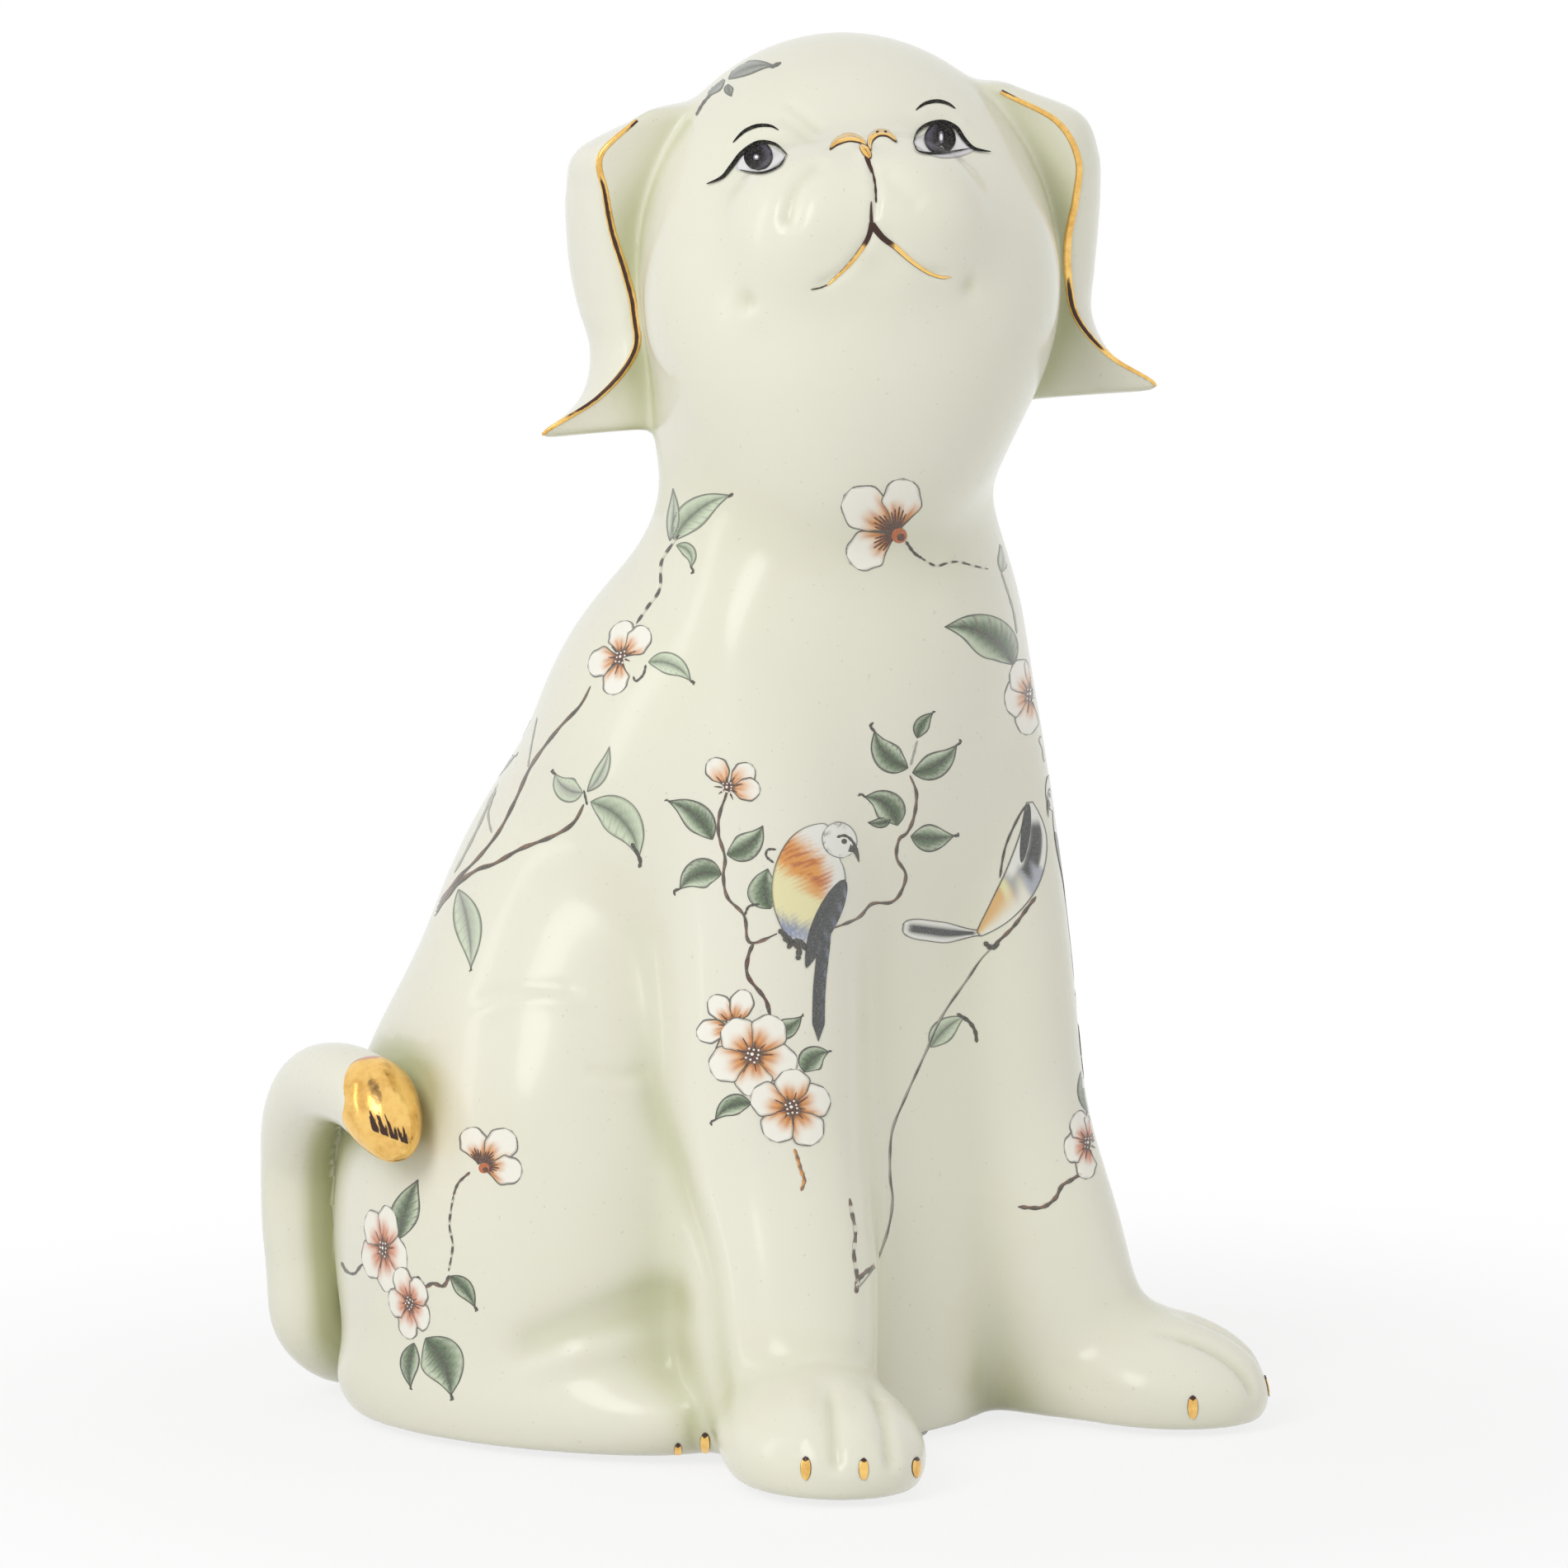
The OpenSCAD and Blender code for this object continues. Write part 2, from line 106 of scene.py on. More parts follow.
def smooth_at(values: Sequence[float], t: np.ndarray) -> np.ndarray:
    """Reads a smooth curve through evenly spaced values.

    Args:
        values: The values, from t = 0 to t = 1. Rows may be points.
        t: Where to read the curve.

    Returns:
        One value or point for each t.
    """
    v = np.asarray(values, float)
    n = len(v) - 1
    x = np.clip(np.asarray(t, float), 0, 1) * n
    i = np.minimum(np.floor(x).astype(int), n - 1)
    u = x - i
    if v.ndim > 1:
        u = u[..., None]
    a, b, c, d = v[np.maximum(i - 1, 0)], v[i], v[i + 1], v[np.minimum(i + 2, n)]
    return b + u / 2 * (c - a + u * (2 * a - 5 * b + 4 * c - d + u * (3 * (b - c) + d - a)))


def along(points: Sequence[Sequence[float]], step: float) -> np.ndarray:
    """Returns points about a step apart on the smooth curve through the given ones."""
    p = np.asarray(points, float)
    if len(p) == 2:
        count = max(2, int(size_of(p[1] - p[0]) / step) + 1)
        return p[0] + (p[1] - p[0]) * np.linspace(0, 1, count)[:, None]
    fine = smooth_at(p, np.linspace(0, 1, 40 * (len(p) - 1) + 1))
    run = np.concatenate([[0], np.cumsum(size_of(np.diff(fine, axis=0)))])
    stops = np.linspace(0, run[-1], max(3, int(run[-1] / step) + 1))
    return np.stack([np.interp(stops, run, fine[:, k]) for k in range(p.shape[1])], 1)


# ----------------------------------------------------------------------------- the form


@dataclass(frozen=True)
class Mass:
    """One soft ellipsoid of a casting: a matrix that makes it a unit ball, its centre, its blend."""

    ball: np.ndarray
    centre: np.ndarray
    softness: float

    def gap(self, points: np.ndarray) -> np.ndarray:
        """Returns about how far the points lie outside the ellipsoid."""
        at = (points - self.centre) @ self.ball.T
        size = size_of(at)
        return size * (size - 1) / size_of(at @ self.ball)


TORSO_SHARES = (
    ((0, 0.35, 0.16), (0.80, 0.65, 0.36), (0, 0, 0), 1),
    ((0, 0.25, 0.385), (0.89, 0.56, 0.37), (-10, 0, 0), 1),
    ((0, 0.03, 0.685), (0.68, 0.53, 0.245), (-12, 0, 0), 1),
    ((0, -0.16, 0.835), (0.51, 0.41, 0.225), (-6, 0, 0), 1),
    ((0, -0.22, 0.32), (0.45, 0.27, 0.52), (-4, 0, 0), 1),
)
HAUNCH_SHARES = (((0.625, 0.35, 0.20), (0.365, 0.54, 0.30), (0, 0, 0), 0.9),)
LIMB_SHARES = (
    ((0.415, -0.32, 0.43), (0.225, 0.225, 0.41), (-4, -3, 0), 0.7),
    ((0.475, -0.45, 0.167), (0.215, 0.225, 0.196), (-14, -8, 0), 0.7),
    ((0.63, -0.725, 0.044), (0.25, 0.285, 0.069), (8, 0, 14), 0.5),
    ((0.71, 0.21, 0.044), (0.225, 0.565, 0.064), (0, 0, -8), 0.5),
)
NECK_SHARES = (((0, -0.14, 1.04), (0.41, 0.39, 0.11), (0, 0, 0), 1),)
SKULL_SHARES = (
    ((0, 0.10, 0.10), (0.99, 1, 1), (0, 0, 0), 0.7),
    ((0, -0.66, -0.22), (0.60, 0.60, 0.46), (0, 0, 0), 0.8),
    ((0, -0.44, -0.70), (0.66, 0.58, 0.50), (0, 0, 0), 1),
    ((0, -0.22, -0.96), (0.60, 0.56, 0.60), (0, 0, 0), 1.2),
)
FACE_SHARES = (
    ((0.47, -0.16, -0.32), (0.54, 0.70, 0.66), (0, 0, 0), 1),
    ((0.24, -0.97, -0.16), (0.33, 0.30, 0.34), (0, 0, 0), 0.5),
)


@dataclass
class Castings:
    """The body and the head as they leave their moulds, as blended masses."""

    half_body: tuple = (80.0, 85.0, 204.0)
    half_head: tuple = (41.0, 42.0, 41.0)
    blend: float = 6.0
    wall: float = 4.5
    head_rise: float = 46.0
    head_turn: float = 41.0
    head_lift: float = 21.0
    head_roll: float = 4.0
    origin: tuple = (0.0, 28.05, 0.0)
    head_place: tuple = (2.0, -16.15)

    def __post_init__(self) -> None:
        """Turns the shares into masses."""
        self.start = np.array(self.origin)
        self.seam = self.half_body[2]
        self.head_centre = self.start + [*self.head_place, self.seam + self.head_rise]
        self.head_yaw = turn((0, 0, -self.head_turn)) @ turn((0, -self.head_roll, 0))
        self.head_frame = self.head_yaw @ turn((-self.head_lift, 0, 0))
        upright = np.eye(3)
        body = self.half_body, self.start, upright
        head = self.half_head, self.head_centre, self.head_frame
        self.torso = self._masses(TORSO_SHARES, False, *body)
        self.haunches = self._masses(HAUNCH_SHARES, True, *body)
        self.limbs = self._masses(LIMB_SHARES, True, *body)
        self.neck = self._masses(NECK_SHARES, False, *body)
        self.skull = self._masses(SKULL_SHARES, False, *head)
        self.face = self._masses(FACE_SHARES, True, *head)
        self.body_skin = self.torso + self.haunches + self.limbs + self.neck
        self.cavity = self.torso + self.haunches + self.neck
        self.head_skin = self.skull + self.face + self.neck + self.torso[2:4]
        self.all = self.body_skin + self.skull + self.face

    def _masses(self, rows: Sequence, mirrored: bool, size: Sequence, origin: np.ndarray,
                axes: np.ndarray) -> list[Mass]:
        """Builds the masses of a table, on one side or on both."""
        found = []
        for centre, radii, tilt, share in rows:
            for side in (-1, 1) if mirrored else (1,):
                lean = axes @ turn((tilt[0], side * tilt[1], side * tilt[2]))
                middle = np.array([side * centre[0], centre[1], centre[2]]) * size
                ball = (lean / (np.array(radii) * size)).T
                found.append(Mass(ball, origin + axes @ middle, self.blend * share))
        return found

    def skin(self, points: np.ndarray, masses: Sequence[Mass] = (), inset: float = 0.0) -> np.ndarray:
        """Measures the blended surface.

        Args:
            points: Rows of points.
            masses: The masses that take part; all of them when none are given.
            inset: How far the surface is sunk.

        Returns:
            About the distance of each point from the surface, negative inside.
        """
        total = np.full(len(points), 1e-30)
        slope = np.full(len(points), 1e-31)
        for mass in masses or self.all:
            part = np.exp(np.clip(-(mass.gap(points) + inset) / mass.softness, -60, 60))
            total += part
            slope += part / mass.softness
        return -np.log(total) * total / slope

    def reach(self, origins: np.ndarray, rays: np.ndarray, masses: Sequence[Mass],
              inset: float = 0.0, far: float = 160.0) -> np.ndarray:
        """Returns how far each ray runs from inside before it meets the surface."""
        near_end, far_end = np.zeros(len(rays)), np.full(len(rays), far)
        for _ in range(16):
            middle = (near_end + far_end) / 2
            inside = self.skin(origins + rays * middle[:, None], masses, inset) < 0
            near_end, far_end = np.where(inside, middle, near_end), np.where(inside, far_end, middle)
        return (near_end + far_end) / 2

    def axis_at(self, heights: np.ndarray) -> np.ndarray:
        """Returns the points of the torso's leaning axis at some heights."""
        z = np.asarray(heights, float)
        y = (0.16 - 0.36 * (np.maximum(z, 0) / self.seam) ** 2) * self.half_body[1]
        return self.start + np.stack([0 * z, y, z], -1)

    def around(self, azimuths: np.ndarray, heights: np.ndarray, masses: Sequence[Mass],
               inset: float) -> np.ndarray:
        """Returns the surface points that level rays from the axis meet."""
        a = np.radians(azimuths)
        rays = np.stack([np.sin(a), -np.cos(a), 0 * a], -1)
        origins = self.axis_at(heights)
        return origins + rays * self.reach(origins, rays, masses, inset)[:, None]


@dataclass
class Ear:
    """A curtain that hangs from the side of the head, from its ridge in front to its rear edge."""

    castings: Castings
    side: int
    length: float = 67.0
    belly: float = 58.0
    tip: float = 66.0
    edge: float = 2.0
    front: float = 86.0
    span: float = 58.0
    top_share: float = 0.76
    hollow: float = 1.4
    ridges: tuple = (0.58, 0.755, 0.785, 0.76, 0.725, 0.70, 0.735, 0.85, 0.99)
    bellies: tuple = (0.64, 0.93, 1.00, 1.01, 1.00, 0.97, 0.93, 0.93, 0.92)
    spans: tuple = (0.40, 0.74, 0.90, 0.97, 1.00, 1.00, 0.98, 0.92, 0.80)

    def __post_init__(self) -> None:
        """Measures the head under the ear once, on a small table of rays."""
        self.t_count, self.s_count = 36, 24
        t, s = np.meshgrid(np.linspace(0, 1, self.t_count), np.linspace(0, 1, self.s_count), indexing="ij")
        t, s = t.ravel(), s.ravel()
        angle = self.front + s * smooth_at(self.spans, t) * self.span
        origins, rays = self.rays(t, angle)
        head = self.castings.reach(origins, rays, self.castings.head_skin)
        self.under = head.reshape(self.t_count, self.s_count)

    def rays(self, t: np.ndarray, angle: np.ndarray) -> tuple[np.ndarray, np.ndarray]:
        """Returns the starts and directions of the level rays that shape the ear."""
        a = np.radians(angle)
        c = self.castings
        up = self.top_share * c.half_head[2] - np.asarray(t) * self.length
        origins = c.head_centre + np.stack([0 * up, 0 * up, up], -1) @ c.head_yaw.T
        rays = np.stack([self.side * np.sin(a), -np.cos(a), 0 * a], -1) @ c.head_yaw.T
        return origins, rays

    def shell(self, t: np.ndarray, s: np.ndarray) -> np.ndarray:
        """Returns the reach of the ear's outer face at shares of its length and of its span."""
        t, s = np.clip(t, 0, 1), np.clip(s, 0, 1)
        x, y = t * (self.t_count - 1), s * (self.s_count - 1)
        i = np.minimum(x.astype(int), self.t_count - 2)
        j = np.minimum(y.astype(int), self.s_count - 2)
        u, v = x - i, y - j
        table = self.under
        near = ((1 - u) * ((1 - v) * table[i, j] + v * table[i, j + 1])
                + u * ((1 - v) * table[i + 1, j] + v * table[i + 1, j + 1]))
        a, c = smooth_at(self.ridges, t) * self.tip, smooth_at(self.bellies, t) * self.belly
        b, d = (4 * c - a) / 3, near + self.edge
        full = a * (1 - s) ** 3 + 3 * b * s * (1 - s) ** 2 + 3 * c * s * s * (1 - s) + d * s ** 3
        return np.maximum(full, near + self.edge)

    def value(self, points: np.ndarray) -> np.ndarray:
        """Returns about the distance of each point from the ear, negative inside."""
        c = self.castings
        u, v, w = ((points - c.head_centre) @ c.head_yaw).T
        t = (self.top_share * c.half_head[2] - w) / self.length
        r = np.hypot(u, v)
        angle = np.degrees(np.arctan2(self.side * u, -v))
        reach = smooth_at(self.spans, t) * self.span
        s = (angle - self.front) / reach
        far = self.shell(t, s)
        under = self.shell(t, 0 * s)
        arc = np.radians(1) * np.maximum(r, 8)
        across = np.clip((under - r) / np.maximum(under - 33, 6), 0, 1)
        dish = self.hollow * 4 * across * (1 - across) * np.clip(3 * t, 0, 1)
        value = shared((r - far) * 0.9, (self.front - angle) * arc + dish, 0.55)
        value = shared(value, (s - 1) * reach * arc, 0.8)
        value = shared(value, -t * self.length, 1.0)
        return shared(value, (t - 1) * self.length, 1.3)


@dataclass
class Tail:
    """A tube that lies against the rump and the right haunch, with a gilded egg at its end."""

    castings: Castings
    thickness: float = 17.0
    tip_length: float = 23.0
    seat: float = 1.5
    clearance: float = 0.3
    azimuths: tuple = (180, 192, 204, 215, 221, 222, 225, 237, 252.5, 261)
    heights: tuple = (0.12, 0.08, 0.058, 0.05, 0.085, 0.17, 0.275, 0.356, 0.363, 0.303)
    girths: tuple = (1, 1, 1, 1, 1, 0.98, 0.97, 0.97, 1, 1)
    stops: int = 90

    def __post_init__(self) -> None:
        """Lays the middle line on the body, a radius away from it."""
        self.radius = self.thickness / 2
        t = np.linspace(0, 1, self.stops)
        z = np.maximum(smooth_at(self.heights, t) * self.castings.seam, self.radius + self.seat)
        self.line = self.castings.around(smooth_at(self.azimuths, t), z, self.castings.body_skin,
                                         -(self.radius + self.clearance))
        run = np.concatenate([[0], np.cumsum(size_of(np.diff(self.line, axis=0)))])
        self.length = run[-1]
        self.run = run
        self.girth = smooth_at(self.girths, t) * self.radius

    def value(self, points: np.ndarray) -> np.ndarray:
        """Returns the distance of each point from the glazed length of the tail."""
        keep = (self.run > self.radius) & (self.run < self.length - self.tip_length * 0.62)
        line, girth = self.line[keep], self.girth[keep]
        best = np.full(len(points), 1e3)
        for a, b, ra, rb in zip(line[:-1], line[1:], girth[:-1], girth[1:]):
            edge = b - a
            share = np.clip((points - a) @ edge / (edge @ edge), 0, 1)
            best = np.minimum(best, size_of(points - a - share[:, None] * edge) - ra - share * (rb - ra))
        return best


@dataclass
class Form:
    """The whole glazed figure as one function of place."""

    castings: Castings
    seat: float = 1.5
    recess: float = 4.0
    rim: float = 17.0
    web_depth: float = 15.3
    web_spread: float = 34.0
    foot_stops: int = 73

    def __post_init__(self) -> None:
        """Adds the ears and the tail and measures the hollow of the underside."""
        self.ears = {
            "ear_left": Ear(self.castings, 1,
                            ridges=(0.50, 0.69, 0.755, 0.74, 0.707, 0.70, 0.72, 0.82, 1.0)),
            "ear_right": Ear(self.castings, -1, belly=60.5,
                             ridges=(0.62, 0.76, 0.755, 0.74, 0.71, 0.69, 0.70, 0.82, 1.05),
                             bellies=(0.64, 0.93, 1.00, 1.02, 1.025, 1.005, 0.965, 0.965, 1.00))}
        self.tail = Tail(self.castings)
        self.azimuths = np.linspace(0, 360, self.foot_stops)
        c = self.castings
        foot = np.full(self.foot_stops, self.seat)
        edge = c.around(self.azimuths, foot, c.cavity, c.wall)
        self.foot_centre = c.axis_at(foot)[0]
        off = np.where(self.azimuths > 180, self.azimuths - 360, self.azimuths)
        self.hollow_reach = (size_of(edge - self.foot_centre) + c.wall - self.rim
                             - self.web_depth * np.exp(-(off / self.web_spread) ** 2))
        line = self.tail.line
        self.boxes = {"tail": (line.min(0) - 16, line.max(0) + 16)}
        for name, ear in self.ears.items():
            t, s = np.meshgrid(np.linspace(0, 1, 12), np.linspace(0, 1, 12))
            origins, rays = ear.rays(t.ravel(), ear.front + s.ravel() * ear.span)
            rim = origins + rays * ear.shell(t.ravel(), s.ravel())[:, None]
            both = np.concatenate([rim, origins + rays * 20])
            self.boxes[name] = (both.min(0) - 9, both.max(0) + 9)

    def part(self, name: str, points: np.ndarray) -> np.ndarray:
        """Returns the distances to the tail or to an ear, far away from it a large number."""
        low, high = self.boxes[name]
        near = np.all((points > low) & (points < high), axis=1)
        found = np.full(len(points), 1e3)
        shape = self.tail if name == "tail" else self.ears[name]
        if near.any():
            found[near] = shape.value(points[near])
        return found

    def hollow(self, points: np.ndarray) -> np.ndarray:
        """Returns the distances to the hollow under the figure, negative inside it."""
        x, y = (points - self.foot_centre)[:, :2].T
        reach = np.interp(np.degrees(np.arctan2(x, -y)) % 360, self.azimuths, self.hollow_reach)
        return shared(np.hypot(x, y) - reach, points[:, 2] - self.seat - self.recess, 1.2)

    def value(self, points: np.ndarray) -> np.ndarray:
        """Returns about the distance of each point from the glazed surface, negative inside."""
        found = self.castings.skin(points)
        for name in ("tail", *self.ears):
            found = merged(found, self.part(name, points), 0.9 if name == "tail" else 1.0)
        found = shared(found, self.seat - points[:, 2], 0.7)
        low = points[:, 2] < 14
        if low.any():
            found[low] = shared(found[low], -self.hollow(points[low]), 1.0)
        return found

    def slope(self, points: np.ndarray, step: float = 0.03) -> np.ndarray:
        """Returns the gradient of value at each point."""
        moves = np.eye(3) * step
        return np.stack([self.value(points + m) - self.value(points - m) for m in moves], 1) / (2 * step)

    def settle(self, points: np.ndarray, times: int = 3, level: bool = False) -> np.ndarray:
        """Moves points onto the surface along its gradient.

        Args:
            points: Rows of points near the surface.
            times: How often to move them.
            level: Whether points on the seam's plane stay in it.

        Returns:
            The moved points.
        """
        at_seam = np.abs(points[:, 2] - self.castings.seam) < 1e-4
        for _ in range(times):
            rise = self.slope(points)
            if level:
                rise[at_seam, 2] = 0
            share = np.clip(self.value(points), -1.5, 1.5) / np.maximum((rise * rise).sum(1), 0.05)
            points = points - rise * share[:, None]
        return points

    def cast(self, origin: np.ndarray, rays: np.ndarray, start: float, far: float) -> np.ndarray:
        """Walks rays from outside to the surface.

        Args:
            origin: Where the rays start.
            rays: Unit directions.
            start: Distance at which the walk begins.
            far: Distance at which it is given up.

        Returns:
            The points that were met, with rows of nan for rays that met nothing.
        """
        run = np.full(len(rays), start)
        for _ in range(70):
            gap = self.value(origin + rays * run[:, None])
            run = np.minimum(run + np.clip(gap, -3, 60) * 0.8, far + 1)
        hit = origin + rays * run[:, None]
        hit[(run > far) | (np.abs(gap) > 0.3)] = np.nan
        return hit


BLOCK = 4
NEAR_CELLS = 6.2
BATCH = 400_000


def spread(blocks: np.ndarray) -> np.ndarray:
    """Returns the values of blocks for each of their cells."""
    for axis in range(3):
        blocks = blocks.repeat(BLOCK, axis)
    return blocks


def net(form: Form, low: np.ndarray, high: np.ndarray, step: float) -> tuple[np.ndarray, np.ndarray]:
    """Meshes the figure inside a box with quads of about one size.

    Args:
        form: The figure.
        low: Lowest corner of the box.
        high: Highest corner.
        step: Size of the cells.

    Returns:
        The points, and the faces as rows of four indices.
    """
    blocks = np.ceil((high - low) / step / BLOCK).astype(int)
    lines = [low[k] + np.arange(blocks[k] + 1) * step * BLOCK for k in range(3)]
    coarse = np.stack(np.meshgrid(*lines, indexing="ij"), -1)
    rough = form.value(coarse.reshape(-1, 3)).reshape(coarse.shape[:3])
    corners = [(i, j, k) for i in (0, 1) for j in (0, 1) for k in (0, 1)]
    part = [rough[i : blocks[0] + i, j : blocks[1] + j, k : blocks[2] + k] for i, j, k in corners]
    busy = np.min(np.abs(part), axis=0) < NEAR_CELLS * step
    counts = blocks * BLOCK + 1
    inside = np.zeros(counts, bool)
    inside[:-1, :-1, :-1] = spread(rough[:-1, :-1, :-1] < 0)
    wanted = np.zeros(counts, bool)
    home = np.argwhere(busy) * BLOCK
    for move in np.ndindex(BLOCK + 1, BLOCK + 1, BLOCK + 1):
        wanted[tuple((home + move).T)] = True
    nodes = np.argwhere(wanted)
    values = np.zeros(counts, np.float32)
    for some in np.array_split(nodes, max(1, len(nodes) // BATCH)):
        values[tuple(some.T)] = form.value(low + some * step)
    inside[wanted] = values[wanted] < 0
    live = spread(busy)
    count = np.zeros(live.shape, np.int8)
    for i, j, k in corners:
        count += inside[i : counts[0] - 1 + i, j : counts[1] - 1 + j, k : counts[2] - 1 + k]
    crossed = live & (count > 0) & (count < 8)
    cells = np.argwhere(crossed)
    index = np.full(live.shape, -1)
    index[crossed] = np.arange(len(cells))
    total, hits = np.zeros((len(cells), 3)), np.zeros(len(cells))
    for a in corners:
        for axis in range(3):
            if a[axis]:
                continue
            b = list(a)
            b[axis] = 1
            va, vb = values[tuple((cells + a).T)], values[tuple((cells + b).T)]
            cut = (va < 0) != (vb < 0)
            place = np.tile(np.array(a, float), (len(cells), 1))
            place[:, axis] += np.where(cut, va / (va - vb + 1e-30), 0)
            total += place * cut[:, None]
            hits += cut
    points = low + (cells + total / hits[:, None]) * step
    faces = []
    for axis in range(3):
        u, v = [(1, 2), (2, 0), (0, 1)][axis]
        here, there = [slice(None)] * 3, [slice(None)] * 3
        here[axis], there[axis] = slice(0, -1), slice(1, None)
        first, second = inside[tuple(here)], inside[tuple(there)]
        edges = np.argwhere(first != second)
        limit = np.array(live.shape)
        edges = edges[(edges[:, u] > 0) & (edges[:, v] > 0) & (edges[:, u] < limit[u])
                      & (edges[:, v] < limit[v])]
        flip = first[tuple(edges.T)]
        ring = []
        for du, dv in ((-1, -1), (0, -1), (0, 0), (-1, 0)):
            at = edges.copy()
            at[:, u] += du
            at[:, v] += dv
            ring.append(index[tuple(at.T)])
        quads = np.stack(ring, 1)
        quads[~flip] = quads[~flip][:, ::-1]
        faces.append(quads)
    faces = np.concatenate(faces)
    return points, faces[(faces >= 0).all(1)]


# ----------------------------------------------------------------------------- looking at it


@dataclass(frozen=True)
class Look:
    """A view of the figure, with a pixel for each direction."""

    azimuth: float = -45.0
    elevation: float = 8.0
    distance: float = 2400.0
    target: tuple = (0.0, 28.05, 134.9)
    focal: float = 13824.0
    middle: float = FRAME / 2

    def axes(self) -> tuple[np.ndarray, np.ndarray, np.ndarray]:
        """Returns the directions to the right, up, and back towards the camera."""
        a, e = np.radians([self.azimuth, self.elevation])
        back = np.array([np.sin(a) * np.cos(e), -np.cos(a) * np.cos(e), np.sin(e)])
        right = np.array([np.cos(a), np.sin(a), 0])
        return right, np.cross(back, right), back

    def eye(self) -> np.ndarray:
        """Returns where the camera stands."""
        return np.array(self.target) + self.axes()[2] * self.distance

    def rays(self, pixels: np.ndarray) -> np.ndarray:
        """Returns the unit direction through each pixel."""
        right, up, back = self.axes()
        p = (np.asarray(pixels, float) - self.middle) / self.focal
        return unit(p[..., :1] * right - p[..., 1:2] * up - back)


@dataclass
class Swell:
    """A round swell, or a dent where its height is negative."""

    pixel: tuple
    radius: float
    height: float


@dataclass
class Groove:
    """A soft groove along a line of pixels, or a fold where its depth is negative."""

    pixels: tuple
    width: float
    depth: float


@dataclass
class Relief:
    """Shallow shaping of the figure beyond its masses, placed by pixels of one view."""

    form: Form
    look: Look
    swells: list
    grooves: list
    mirrored: bool = False
    before: float = 260.0
    beyond: float = 200.0
    stride: float = 14.0

    def __post_init__(self) -> None:
        """Finds the place of each swell and groove on the figure."""
        eye = self.look.eye()
        self.spots, self.lines = [], []
        near, far = self.look.distance - self.before, self.look.distance + self.beyond
        for swell in self.swells:
            spot = self.form.cast(eye, self.look.rays(np.array([swell.pixel])), near, far)[0]
            self.spots.append((spot, swell.radius, swell.height))
        for groove in self.grooves:
            line = self.form.cast(eye, self.look.rays(along(groove.pixels, self.stride)), near, far)
            line = line[~np.isnan(line[:, 0])]
            if len(line) > 1:
                self.lines.append((line, groove.width, groove.depth))
        if self.mirrored:
            flip = np.array([-1, 1, 1])
            self.spots += [(self.form.settle((s * flip)[None], 6)[0], r, h) for s, r, h in self.spots]
            self.lines += [(self.form.settle(line * flip, 6), w, d) for line, w, d in self.lines]

    def height(self, points: np.ndarray) -> np.ndarray:
        """Returns how far each point is raised."""
        raised = np.zeros(len(points))
        for spot, radius, height in self.spots:
            if np.isnan(spot[0]):
                continue
            away = ((points - spot) ** 2).sum(1) / radius ** 2
            raised += height * np.exp(-away)
        for line, width, depth in self.lines:
            low, high = line.min(0) - 3 * width, line.max(0) + 3 * width
            near = np.flatnonzero(np.all((points > low) & (points < high), axis=1))
            if not len(near):
                continue
            some = points[near]
            best = np.full(len(near), 1e6)
            share_along = np.zeros(len(near))
            for i, (a, b) in enumerate(zip(line[:-1], line[1:])):
                edge = b - a
                share = np.clip((some - a) @ edge / (edge @ edge + 1e-9), 0, 1)
                away = ((some - a - share[:, None] * edge) ** 2).sum(1)
                better = away < best
                best[better] = away[better]
                share_along[better] = (i + share[better]) / (len(line) - 1)
            fade = np.clip(np.minimum(share_along, 1 - share_along) * 6, 0, 1)
            raised[near] -= depth * np.exp(-best / width ** 2) * (0.15 + 0.85 * fade)
        return raised


